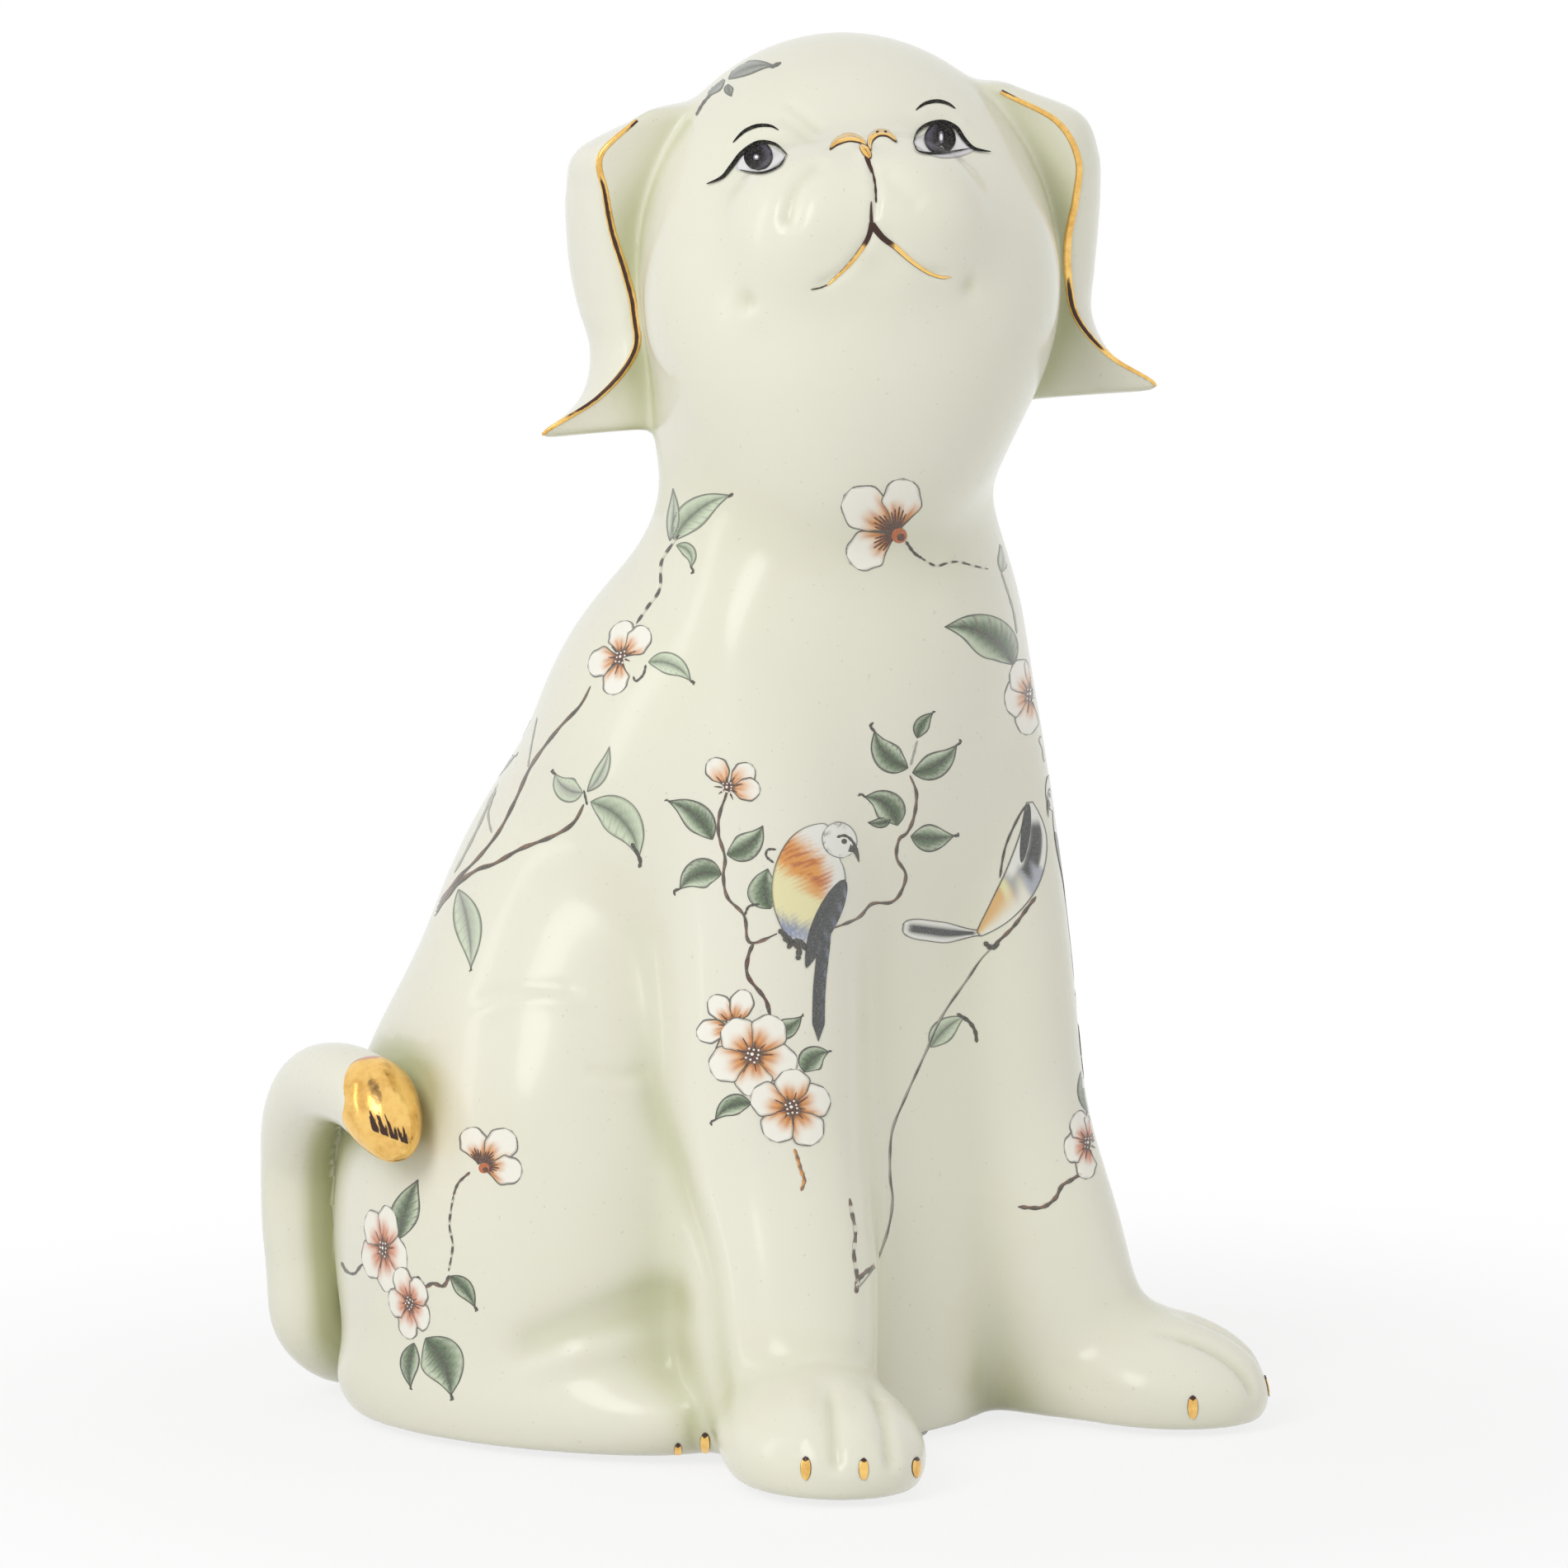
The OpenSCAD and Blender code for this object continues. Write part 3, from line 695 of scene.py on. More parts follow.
def modelling(form: Form, look: Look) -> list[Relief]:
    """Returns the shaping of the face, and that of the body on both of its sides."""
    face = Relief(form, look, [
        Swell((924, 190), 7.5, -0.6), Swell((1142, 169), 7.5, -0.6),
        Swell((1012, 236), 8.5, 0.9), Swell((1104, 222), 8.0, 0.5),
        Swell((906, 366), 2.3, -1.0), Swell((1176, 346), 2.3, -0.9), Swell((1062, 322), 5.0, -0.8),
        Swell((1028, 174), 2.8, 0.9), Swell((1068, 168), 2.8, 0.9), Swell((1050, 186), 2.2, 0.8),
        Swell((912, 384), 3.5, 0.4), Swell((1062, 352), 8.0, 0.5)], [
        Groove(((1004, 192), (980, 212), (964, 232), (956, 262), (952, 284)), 2.3, 1.1),
        Groove(((1066, 204), (1090, 228), (1120, 254)), 2.0, 0.65),
        Groove(((1053, 196), (1059, 214), (1062, 244), (1056, 272)), 1.1, 0.75),
        Groove(((1057, 270), (1054, 284), (1047, 298), (1032, 318), (1016, 334), (984, 351)), 1.3, 0.7),
        Groove(((1058, 272), (1086, 300), (1104, 316), (1124, 330), (1154, 336)), 1.3, 0.7),
        Groove(((950, 122), (974, 142), (998, 162)), 1.4, 0.45),
        Groove(((938, 140), (962, 152), (990, 176)), 1.5, 0.4),
        Groove(((884, 178), (902, 160), (924, 154), (950, 164)), 1.8, -0.35),
        Groove(((1108, 140), (1134, 130), (1160, 140), (1174, 158)), 1.8, -0.35)])
    body = Relief(form, look, [
        Swell((862, 760), 14.0, 1.2), Swell((795, 900), 12.0, 0.8), Swell((600, 1340), 13.0, 1.0),
        Swell((1010, 1655), 8.0, 0.8)], [
        Groove(((781, 1247), (794, 1335), (825, 1422), (860, 1532), (873, 1641), (882, 1729),
                (895, 1772)), 3.4, 0.9),
        Groove(((572, 1218), (620, 1203), (665, 1199), (712, 1208)), 2.2, 0.55),
        Groove(((572, 1228), (620, 1214), (665, 1210), (712, 1220)), 2.4, -0.45),
        Groove(((706, 1296), (742, 1306), (786, 1300)), 2.0, 0.45),
        Groove(((706, 1306), (742, 1317), (786, 1311)), 2.0, -0.35),
        Groove(((606, 1648), (672, 1617), (737, 1590), (803, 1571), (842, 1590)), 5.0, 1.3),
        Groove(((619, 1668), (694, 1646), (781, 1637), (828, 1664)), 3.0, -0.7),
        Groove(((1003, 1676), (1009, 1730), (1013, 1792)), 1.9, 1.1),
        Groove(((1058, 1676), (1074, 1730), (1082, 1792)), 1.9, 1.1),
        Groove(((968, 1672), (974, 1716), (977, 1760)), 3.2, -0.5),
        Groove(((1030, 1672), (1042, 1716), (1047, 1760)), 3.2, -0.5),
        Groove(((838, 1706), (840, 1762)), 1.4, 0.5)], True)
    return [face, body]


# ----------------------------------------------------------------------------- finishes


class Wire:
    """The output of a node, with the signs of arithmetic for sums on it."""

    def __init__(self, maker: "Maker", socket: bpy.types.NodeSocket) -> None:
        """Keeps the socket and the maker of its material."""
        self.maker, self.socket = maker, socket

    def _sum(self, operation: str, first: object, second: object) -> "Wire":
        """Returns the output of one Math node."""
        return self.maker.out("ShaderNodeMath", {"operation": operation}, {0: first, 1: second})

    def __add__(self, other: object) -> "Wire":
        """Returns self + other."""
        return self._sum("ADD", self, other)

    def __radd__(self, other: object) -> "Wire":
        """Returns other + self."""
        return self._sum("ADD", other, self)

    def __sub__(self, other: object) -> "Wire":
        """Returns self - other."""
        return self._sum("SUBTRACT", self, other)

    def __rsub__(self, other: object) -> "Wire":
        """Returns other - self."""
        return self._sum("SUBTRACT", other, self)

    def __mul__(self, other: object) -> "Wire":
        """Returns self * other."""
        return self._sum("MULTIPLY", self, other)

    def __rmul__(self, other: object) -> "Wire":
        """Returns other * self."""
        return self._sum("MULTIPLY", other, self)


class Maker:
    """Builds the nodes of one material or of the world."""

    def __init__(self, owner: bpy.types.Material | bpy.types.World) -> None:
        """Empties the node tree of its owner."""
        owner.use_nodes = True
        self.owner, self.tree = owner, owner.node_tree
        self.tree.nodes.clear()

    def node(self, kind: str, settings: dict | None = None,
             inputs: dict | None = None) -> bpy.types.Node:
        """Adds a node.

        Args:
            kind: Its type.
            settings: What is set first; stops are those of a colour ramp.
            inputs: Values or links for its sockets, by name or number.

        Returns:
            The node.
        """
        made = self.tree.nodes.new(kind)
        for key, value in (settings or {}).items():
            if key == "stops":
                ramp = made.color_ramp.elements
                while len(ramp) < len(value):
                    ramp.new(0.5)
                for element, (place, colour) in zip(ramp, value):
                    element.position, element.color = place, colour
            else:
                setattr(made, key, value)
        for key, value in (inputs or {}).items():
            if isinstance(value, Wire):
                self.tree.links.new(value.socket, made.inputs[key])
            else:
                made.inputs[key].default_value = value
        return made

    def out(self, kind: str, settings: dict | None = None, inputs: dict | None = None,
            output: object = 0) -> Wire:
        """Adds a node and returns one of its outputs."""
        return Wire(self, self.node(kind, settings, inputs).outputs[output])

    def mix(self, first: object, second: object, share: object) -> Wire:
        """Returns a colour between two, by a share."""
        return self.out("ShaderNodeMix", {"data_type": "RGBA"}, {0: share, 6: first, 7: second}, 2)

    def noise(self, place: Wire, scale: float, detail: float = 2.0, roughness: float = 0.5) -> Wire:
        """Returns noise from 0 to 1 with features of about 1 / scale metres."""
        return self.out("ShaderNodeTexNoise", None, {"Vector": place, "Scale": scale,
                                                     "Detail": detail, "Roughness": roughness})

    def between(self, value: object, low: float, high: float) -> Wire:
        """Returns a soft step of value from low to high."""
        return self.out("ShaderNodeMapRange", {"interpolation_type": "SMOOTHSTEP"},
                        {"Value": value, "From Min": low, "From Max": high})

    def place(self) -> Wire:
        """Returns the place on the piece, in metres."""
        return self.out("ShaderNodeTexCoord", None, None, "Object")

    def bump(self, height: Wire, strength: float, depth: float) -> Wire:
        """Returns the normal of a small relief, depth in metres."""
        return self.out("ShaderNodeBump", None, {"Height": height, "Strength": strength, "Distance": depth})

    def seen(self, ray: bpy.types.Node) -> Wire:
        """Returns one for what the camera sees, directly or in gloss or glass, of a Light Path node."""
        found = Wire(self, ray.outputs["Is Camera Ray"])
        for other in ("Is Glossy Ray", "Is Transmission Ray"):
            found = self.out("ShaderNodeMath", {"operation": "MAXIMUM"},
                             {0: found, 1: Wire(self, ray.outputs[other])})
        return found

    def finish(self, shader: bpy.types.Node,
               end: str = "ShaderNodeOutputMaterial") -> bpy.types.Material | bpy.types.World:
        """Connects the shader to the surface and returns the owner."""
        self.tree.links.new(shader.outputs[0], self.node(end).inputs["Surface"])
        return self.owner


@dataclass(frozen=True)
class Glaze:
    """Clear pale celadon glaze, greener where it pools and darker there as painted shade, with the printed
    ink under it.

    Ink that covers fully is the enamel of the eyes, which lies on the glaze and mirrors less.
    """

    clear: tuple = (0.86, 0.85, 0.70, 1)
    warm: tuple = (0.87, 0.85, 0.725, 1)
    # Colour of pooled glaze, also painted shade: darker than the clear glaze where a place is closed in.
    pooled_and_shaded: tuple = (0.57, 0.58, 0.36, 1)
    roughness: float = 0.24

    def make(self) -> bpy.types.Material:
        """Builds the glaze."""
        m = Maker(bpy.data.materials.new("glaze"))
        place = m.place()
        drift = m.between(m.noise(place, 16, 3), 0.3, 0.7)
        base = m.mix(self.clear, self.warm, drift)
        # Pooled glaze and painted shade: the mark grows where a place is closed in, and darkens the glaze
        # there.
        pool = m.out("ShaderNodeAttribute", {"attribute_name": "pool"}, None, "Fac")
        cloud = m.noise(place, 55, 4, 0.6)
        depth = m.between(pool + (cloud - 0.5) * 0.12, 0.02, 0.95)
        base = m.mix(base, self.pooled_and_shaded, depth)
        specks = m.between(m.noise(place, 900, 1), 0.735, 0.78)
        base = m.mix(base, (0.42, 0.40, 0.30, 1), specks * 0.22)
        ink = m.node("ShaderNodeAttribute", {"attribute_name": "ink"})
        grain = m.between(m.noise(place, 2600, 2), 0.25, 0.6)
        cover = Wire(m, ink.outputs["Alpha"]) * (grain * 0.10 + 0.9)
        base = m.mix(base, Wire(m, ink.outputs["Color"]), cover)
        skin = m.noise(place, 260, 2, 0.45)
        ripple = m.noise(place, 42, 2, 0.5)
        normal = m.bump(ripple * 0.8 + skin * 0.2, 0.25, 0.0006)
        shine = m.noise(place, 30, 3) * 0.05 + self.roughness - 0.02
        glazed = m.node("ShaderNodeBsdfPrincipled", None, {
            "Base Color": base, "Roughness": shine, "IOR": 1.52, "Normal": normal,
            "Specular IOR Level": 0.36, "Coat Weight": 0.3, "Coat Roughness": 0.08})
        enamel = m.node("ShaderNodeBsdfPrincipled", None, {
            "Base Color": base, "Roughness": shine, "Normal": normal, "Specular IOR Level": 0.02})
        painted = m.between(Wire(m, ink.outputs["Alpha"]), 0.955, 0.99)
        return m.finish(m.node("ShaderNodeMixShader", None, {
            0: painted, 1: Wire(m, glazed.outputs[0]), 2: Wire(m, enamel.outputs[0])}))


@dataclass(frozen=True)
class Gilt:
    """Bright gold lustre, fired on the glaze, worn to brown where the brush laid it thin, with brown ink on
    it: brown marks, painted shade on the nose, and painted reflections on the egg.
    """

    bright: tuple = (0.95, 0.62, 0.20, 1)
    deep: tuple = (0.62, 0.30, 0.06, 1)
    brown: tuple = (0.045, 0.018, 0.008, 1)
    roughness: float = 0.16

    def make(self) -> bpy.types.Material:
        """Builds the lustre."""
        m = Maker(bpy.data.materials.new("gilt"))
        place = m.place()
        worn = m.between(m.noise(place, 240, 4, 0.65), 0.35, 0.75)
        base = m.mix(self.bright, self.deep, worn * 0.7)
        ink = m.node("ShaderNodeAttribute", {"attribute_name": "ink"})
        # Brown ink on the gold: brown marks on the lines and claws, painted shade on the nose wings,
        # painted reflections on the egg.
        cover = m.between(Wire(m, ink.outputs["Alpha"]) + (m.noise(place, 700, 3) - 0.5) * 0.5, 0.3, 0.7)
        base = m.mix(base, Wire(m, ink.outputs["Color"]), cover)
        streak = m.noise(place, 1500, 2)
        normal = m.bump(m.noise(place, 330, 3), 0.3, 0.0003)
        return m.finish(m.node("ShaderNodeBsdfPrincipled", None, {
            "Base Color": base, "Metallic": 1 - cover * 0.85,
            "Roughness": streak * 0.14 + self.roughness - 0.05, "Normal": normal}))


@dataclass(frozen=True)
class Felt:
    """The soft white foam of the self-adhesive pads."""

    face: tuple = (0.86, 0.86, 0.84, 1)
    shade: tuple = (0.72, 0.72, 0.69, 1)

    def make(self) -> bpy.types.Material:
        """Builds the foam."""
        m = Maker(bpy.data.materials.new("pad_foam"))
        place = m.place()
        cells = m.out("ShaderNodeTexVoronoi", None, {"Vector": place, "Scale": 1500.0}, "Distance")
        base = m.mix(self.face, self.shade, m.between(cells, 0.2, 0.7) * 0.5)
        normal = m.bump(cells, 0.4, 0.0002)
        return m.finish(m.node("ShaderNodeBsdfPrincipled", None, {
            "Base Color": base, "Roughness": m.noise(place, 600) * 0.1 + 0.6, "Normal": normal}))


@dataclass(frozen=True)
class Backdrop:
    """A plain pale sweep that is white to the camera and keeps the figure's shadow near it."""

    colour: tuple = (0.82, 0.82, 0.81, 1)
    near: float = 0.10
    far: float = 0.32

    def make(self) -> bpy.types.Material:
        """Builds the sweep."""
        m = Maker(bpy.data.materials.new("backdrop"))
        place = m.place()
        flat = m.out("ShaderNodeVectorMath", {"operation": "MULTIPLY"}, {0: place, 1: (1, 1, 0)})
        away = m.out("ShaderNodeVectorMath", {"operation": "LENGTH"}, {0: flat}, "Value")
        reach = m.between(away, self.near, self.far)
        seen = m.seen(m.node("ShaderNodeLightPath"))
        plain = m.node("ShaderNodeBsdfDiffuse", None, {"Color": self.colour})
        white = m.node("ShaderNodeEmission", None, {"Color": (1, 1, 1, 1), "Strength": 1.0})
        mixed = m.node("ShaderNodeMixShader", None, {
            0: seen * (reach * 0.2 + 0.8), 1: Wire(m, plain.outputs[0]), 2: Wire(m, white.outputs[0])})
        return m.finish(mixed)


# ----------------------------------------------------------------------------- meshes


def piece(name: str, points: np.ndarray, faces: Sequence, material: bpy.types.Material,
          normals: np.ndarray | None = None, marks: dict | None = None, slot: str = "glaze",
          replaced: Sequence[str] = ()) -> bpy.types.Object:
    """Makes one piece of the figure and hands it to the frame.

    Args:
        name: Its name.
        points: Its points, in millimetres.
        faces: Its faces, as rows of indices.
        material: Its finish.
        normals: A normal for each point, or none for those of the faces.
        marks: Values for each point that the finish reads, by name.
        slot: Not used.
        replaced: The CAD nodes it stands for.

    Returns:
        The object.
    """
    mesh = bpy.data.meshes.new(name)
    mesh.from_pydata((np.asarray(points) * MM).tolist(), [], [list(map(int, f)) for f in faces])
    mesh.validate()
    mesh.polygons.foreach_set("use_smooth", np.ones(len(mesh.polygons), bool))
    for key, values in (marks or {}).items():
        colour = np.ndim(values) == 2
        made = mesh.attributes.new(key, "FLOAT_COLOR" if colour else "FLOAT", "POINT")
        made.data.foreach_set("color" if colour else "value", np.asarray(values, np.float32).ravel())
    mesh.materials.append(material)
    if normals is not None:
        mesh.normals_split_custom_set_from_vertices(np.asarray(normals).tolist())
    made = bpy.data.objects.new(name, mesh)
    bpy.context.scene.collection.objects.link(made)
    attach(made, "root")
    if replaced:
        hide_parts(*replaced)
    log.info("%s: %d points, %d faces", name, len(mesh.vertices), len(mesh.polygons))
    return made


def cut(points: np.ndarray, faces: np.ndarray, height: float, keep_above: bool) -> tuple[np.ndarray, list]:
    """Cuts a mesh along a level plane.

    Args:
        points: Its points.
        faces: Its faces.
        height: Height of the plane.
        keep_above: Whether what lies above the plane is kept.

    Returns:
        The points and faces of what is kept, open along the plane.
    """
    work = bmesh.new()
    mesh = bpy.data.meshes.new("work")
    mesh.from_pydata(points.tolist(), [], faces.tolist())
    work.from_mesh(mesh)
    bmesh.ops.bisect_plane(work, geom=work.verts[:] + work.edges[:] + work.faces[:], dist=1e-5,
                           plane_co=(0, 0, height), plane_no=(0, 0, 1),
                           clear_outer=not keep_above, clear_inner=keep_above)
    work.verts.index_update()
    kept = np.array([v.co[:] for v in work.verts])
    rings = [[v.index for v in f.verts] for f in work.faces]
    work.free()
    bpy.data.meshes.remove(mesh)
    kept[np.abs(kept[:, 2] - height) < 1e-3, 2] = height
    return kept, rings


def grid_faces(rows: int, columns: int, start: int = 0) -> np.ndarray:
    """Returns the quads of a grid of points that is numbered row by row."""
    grid = np.arange(rows * columns).reshape(rows, columns) + start
    return np.stack([grid[:-1, :-1], grid[:-1, 1:], grid[1:, 1:], grid[1:, :-1]], -1).reshape(-1, 4)


def ring_faces(rings: int, sides: int) -> list:
    """Returns the quads between rings of points that each have as many sides."""
    return [(k * sides + i, k * sides + (i + 1) % sides,
             (k + 1) * sides + (i + 1) % sides, (k + 1) * sides + i)
            for k in range(rings - 1) for i in range(sides)]


def face_outwards(faces: np.ndarray, points: np.ndarray, normals: np.ndarray) -> None:
    """Turns over the faces that look against the normals of their points."""
    a, b, c = (points[faces[:, k]] for k in range(3))
    turned = (np.cross(b - a, c - a) * normals[faces[:, 0]]).sum(1) < 0
    faces[turned] = faces[turned][:, ::-1]


def part_of(points: np.ndarray, rings: list, chosen: np.ndarray) -> tuple[np.ndarray, list]:
    """Takes some faces out of a mesh.

    Args:
        points: Its points.
        rings: Its faces.
        chosen: Whether each face is taken.

    Returns:
        The indices of the points that are used, and the faces numbered by them.
    """
    taken = [ring for ring, yes in zip(rings, chosen) if yes]
    used = np.unique(np.concatenate([np.array(ring) for ring in taken]))
    new = np.full(len(points), -1)
    new[used] = np.arange(len(used))
    return used, [new[ring] for ring in taken]


@dataclass
class Surface:
    """The shaped figure: it gives places, normals, and the depth of the glaze with the painted shade of
    hollows, to whatever lies on it.
    """

    form: Form
    reliefs: list
    trees: list = field(default_factory=list)
    # Reaches in mm and their shares for the pooled glaze and painted shade.
    pool_and_shade_reaches: tuple = ((3.0, 0.6), (9.0, 0.55), (22.0, 0.35))

    def height(self, points: np.ndarray) -> np.ndarray:
        """Returns how far the modelled relief raises each point."""
        return sum((relief.height(points) for relief in self.reliefs), np.zeros(len(points)))

    def shape(self, points: np.ndarray) -> tuple[np.ndarray, np.ndarray, np.ndarray]:
        """Raises points that lie on the plain form.

        Args:
            points: Points on the form.

        Returns:
            The raised points, their normals, and the depth of the glaze on them, which also paints the
            shade of hollows and dents.
        """
        normal = unit(self.form.slope(points))
        height = self.height(points)
        bent = self._bent(points, normal, height)
        # How closed in each point is at each reach, and how deep its dent is: pooled glaze and painted
        # shade.
        pool = np.zeros(len(points))
        for away, share in self.pool_and_shade_reaches:
            gap = self.form.value(points + normal * away)
            pool += share * np.clip(1 - gap / away - 0.04, 0, 1)
        pool += np.clip(-height * 0.35, 0, 0.35)
        return points + normal * height[:, None], bent, np.clip(pool, 0, 1)

    def add(self, points: np.ndarray, rings: list, pool: np.ndarray) -> None:
        """Lets rays find this mesh, and keeps the depth of the glaze with its painted shade on it."""
        rings = [list(map(int, ring)) for ring in rings]
        self.trees.append((BVHTree.FromPolygons(points.tolist(), rings), [pool[r].mean() for r in rings]))

    def hit(self, origin: np.ndarray, rays: np.ndarray) -> tuple[np.ndarray, np.ndarray]:
        """Sends rays to the meshes.

        Args:
            origin: Where the rays start.
            rays: Unit directions.

        Returns:
            Where they meet the first mesh, with rows of nan where they meet none, and the depth of the
            glaze with its painted shade there.
        """
        start = Vector(origin)
        found, depth = np.full((len(rays), 3), np.nan), np.zeros(len(rays))
        for i, ray in enumerate(rays.tolist()):
            best = 1e9
            for tree, pool in self.trees:
                place, _, face, away = tree.ray_cast(start, Vector(ray))
                if place is not None and away < best:
                    best, found[i], depth[i] = away, place, pool[face]
        return found, depth

    def normals(self, points: np.ndarray) -> np.ndarray:
        """Returns the normals of the shaped surface at points on it."""
        normal = unit(self.form.slope(points))
        return self._bent(points, normal, self.height(points))

    def _bent(self, points: np.ndarray, normal: np.ndarray, height: np.ndarray) -> np.ndarray:
        """Turns the normals of the plain form to those of the raised one."""
        helper = np.where(np.abs(normal[:, 2:]) < 0.9, [[0, 0, 1.0]], [[1.0, 0, 0]])
        first = unit(np.cross(normal, helper))
        second = np.cross(normal, first)
        step = 0.25
        rise_a = (self.height(points + first * step) - height) / step
        rise_b = (self.height(points + second * step) - height) / step
        return unit(normal - first * rise_a[:, None] - second * rise_b[:, None])


class Fineness(Enum):
    """How fine the glazed skin is meshed: cell sizes of the body and of the head, in mm."""

    FULL = (1.3, 0.85)
    TRIAL = (2.6, 1.5)


@dataclass
class Skin:
    """The glazed skin of the whole figure, cut into its cast pieces."""

    surface: Surface
    glaze: bpy.types.Material
    low: tuple = (-102.0, -64.0, -1.0)
    high: tuple = (86.0, 136.0, 300.0)

    def build(self) -> list[bpy.types.Object]:
        """Meshes, shapes and cuts the skin.

        Returns:
            The pieces.
        """
        form = self.surface.form
        seam = form.castings.seam
        cells = Fineness.FULL.value
        low, high = np.array(self.low), np.array(self.high)
        below = net(form, low, np.array([high[0], high[1], seam + 4]), cells[0])
        above = net(form, np.array([-64.0, -54.0, seam - 4]), np.array([64.0, 74.0, high[2]]), cells[1])
        made = self._dress(*cut(*below, seam, False), {"tail": ("tail",)},
                           "body", ("body_shell", "base_plate"))
        made += self._dress(*cut(*above, seam, True),
                            {"ear_left": ("ear_left",), "ear_right": ("ear_right",)},
                            "head", ("head_shell",))
        return made

    def _dress(self, points: np.ndarray, rings: list, parts: dict, name: str,
               nodes: tuple) -> list[bpy.types.Object]:
        """Shapes one mesh and splits it into its pieces."""
        form = self.surface.form
        points = form.settle(points, 2, level=True)
        own = form.castings.skin(points)
        labels = np.zeros(len(points), int)
        for number, key in enumerate(parts, 1):
            labels[form.part(key, points) < own] = number
        shaped, normals, pool = self.surface.shape(points)
        self.surface.add(shaped, rings, pool)
        face_label = np.array([np.bincount(labels[ring], minlength=len(parts) + 1).argmax()
                               for ring in rings])
        made = []
        for number, (key, stands_for) in enumerate([(name, nodes), *parts.items()]):
            used, own_rings = part_of(shaped, rings, face_label == number)
            marks = {"pool": pool[used], "ink": np.zeros((len(used), 4))}
            made.append(piece(f"{key}_glaze", shaped[used], own_rings, self.glaze, normals[used], marks,
                              "glaze", stands_for))
        return made


# ----------------------------------------------------------------------------- decoration


def colour(red: int, green: int, blue: int, cover: float = 1.0) -> np.ndarray:
    """Returns an ink as linear light and cover, from the usual 0 to 255."""
    c = np.array([red, green, blue]) / 255
    return np.append(np.where(c <= 0.04045, c / 12.92, ((c + 0.055) / 1.055) ** 2.4), cover)


def tinted(base: np.ndarray, ink: np.ndarray, share: np.ndarray) -> np.ndarray:
    """Returns colours moved towards an ink by a share for each."""
    return base + (ink - base) * np.clip(share, 0, 1)[..., None]


def soft(value: np.ndarray, low: float, high: float) -> np.ndarray:
    """Returns a soft step of value from 0 at low to 1 at high."""
    t = np.clip((value - low) / (high - low), 0, 1)
    return t * t * (3 - 2 * t)


LINE = colour(44, 42, 40, 0.92)
PALE_LINE = colour(96, 98, 94, 0.6)
BARK = colour(112, 70, 44, 0.9)
LEAF_DEEP = colour(60, 94, 54, 0.93)
LEAF_MID = colour(112, 138, 108, 0.82)
LEAF_PALE = colour(206, 222, 192, 0.75)
LEAF_GREY = colour(140, 150, 142, 0.7)
PETAL = colour(252, 249, 238, 0.95)
AMBER = colour(230, 154, 58, 0.94)
RUST = colour(190, 96, 38, 0.95)
UMBER = colour(84, 36, 22, 0.95)
PEACH = colour(238, 176, 116, 0.9)
ROSE = colour(226, 140, 104, 0.9)
SLATE = colour(58, 62, 66, 0.95)
BLUE_GREY = colour(120, 132, 170, 0.85)
STRAW = colour(240, 232, 174, 0.85)
WHITE = colour(244, 243, 236, 0.9)
BROWN = colour(62, 34, 20, 1.0)


@dataclass(frozen=True)
class Cell:
    """What a brush knows about the points of one stroke: shares along and across, and pixels."""

    along: np.ndarray
    across: np.ndarray
    edge: np.ndarray
    place: np.ndarray

    def coat(self, ink: np.ndarray) -> np.ndarray:
        """Returns one ink for every point."""
        return np.broadcast_to(ink, (*self.along.shape, 4)).copy()


def across_of(columns: int) -> np.ndarray:
    """Returns the shares across a stroke, from -1 to 1, closer at its edges."""
    return np.sin(np.linspace(-np.pi / 2, np.pi / 2, columns))


def rounded(half: float) -> Callable:
    """Returns the half widths of an ellipse."""
    return lambda u: half * np.sqrt(np.clip(1 - (2 * u - 1) ** 2, 0, 1))


def swelling(half: float, power: float, share: float = 0.96, start: float = 0.02) -> Callable:
    """Returns half widths that grow from one end and shrink to the other."""
    return lambda u: half * np.sin(np.pi * np.clip(u * share + start, 0, 1)) ** power


class Leaf(Enum):
    """How strongly a leaf is painted."""

    DEEP = (tuple(LEAF_DEEP), tuple(LEAF_PALE), 0.75)
    PALE = (tuple(LEAF_MID), tuple(LEAF_PALE), 0.45)
    GREY = (tuple(LEAF_GREY), tuple(LEAF_PALE), 0.4)
    MIST = (tuple(colour(74, 92, 78, 0.85)), tuple(LEAF_GREY), 0.7)


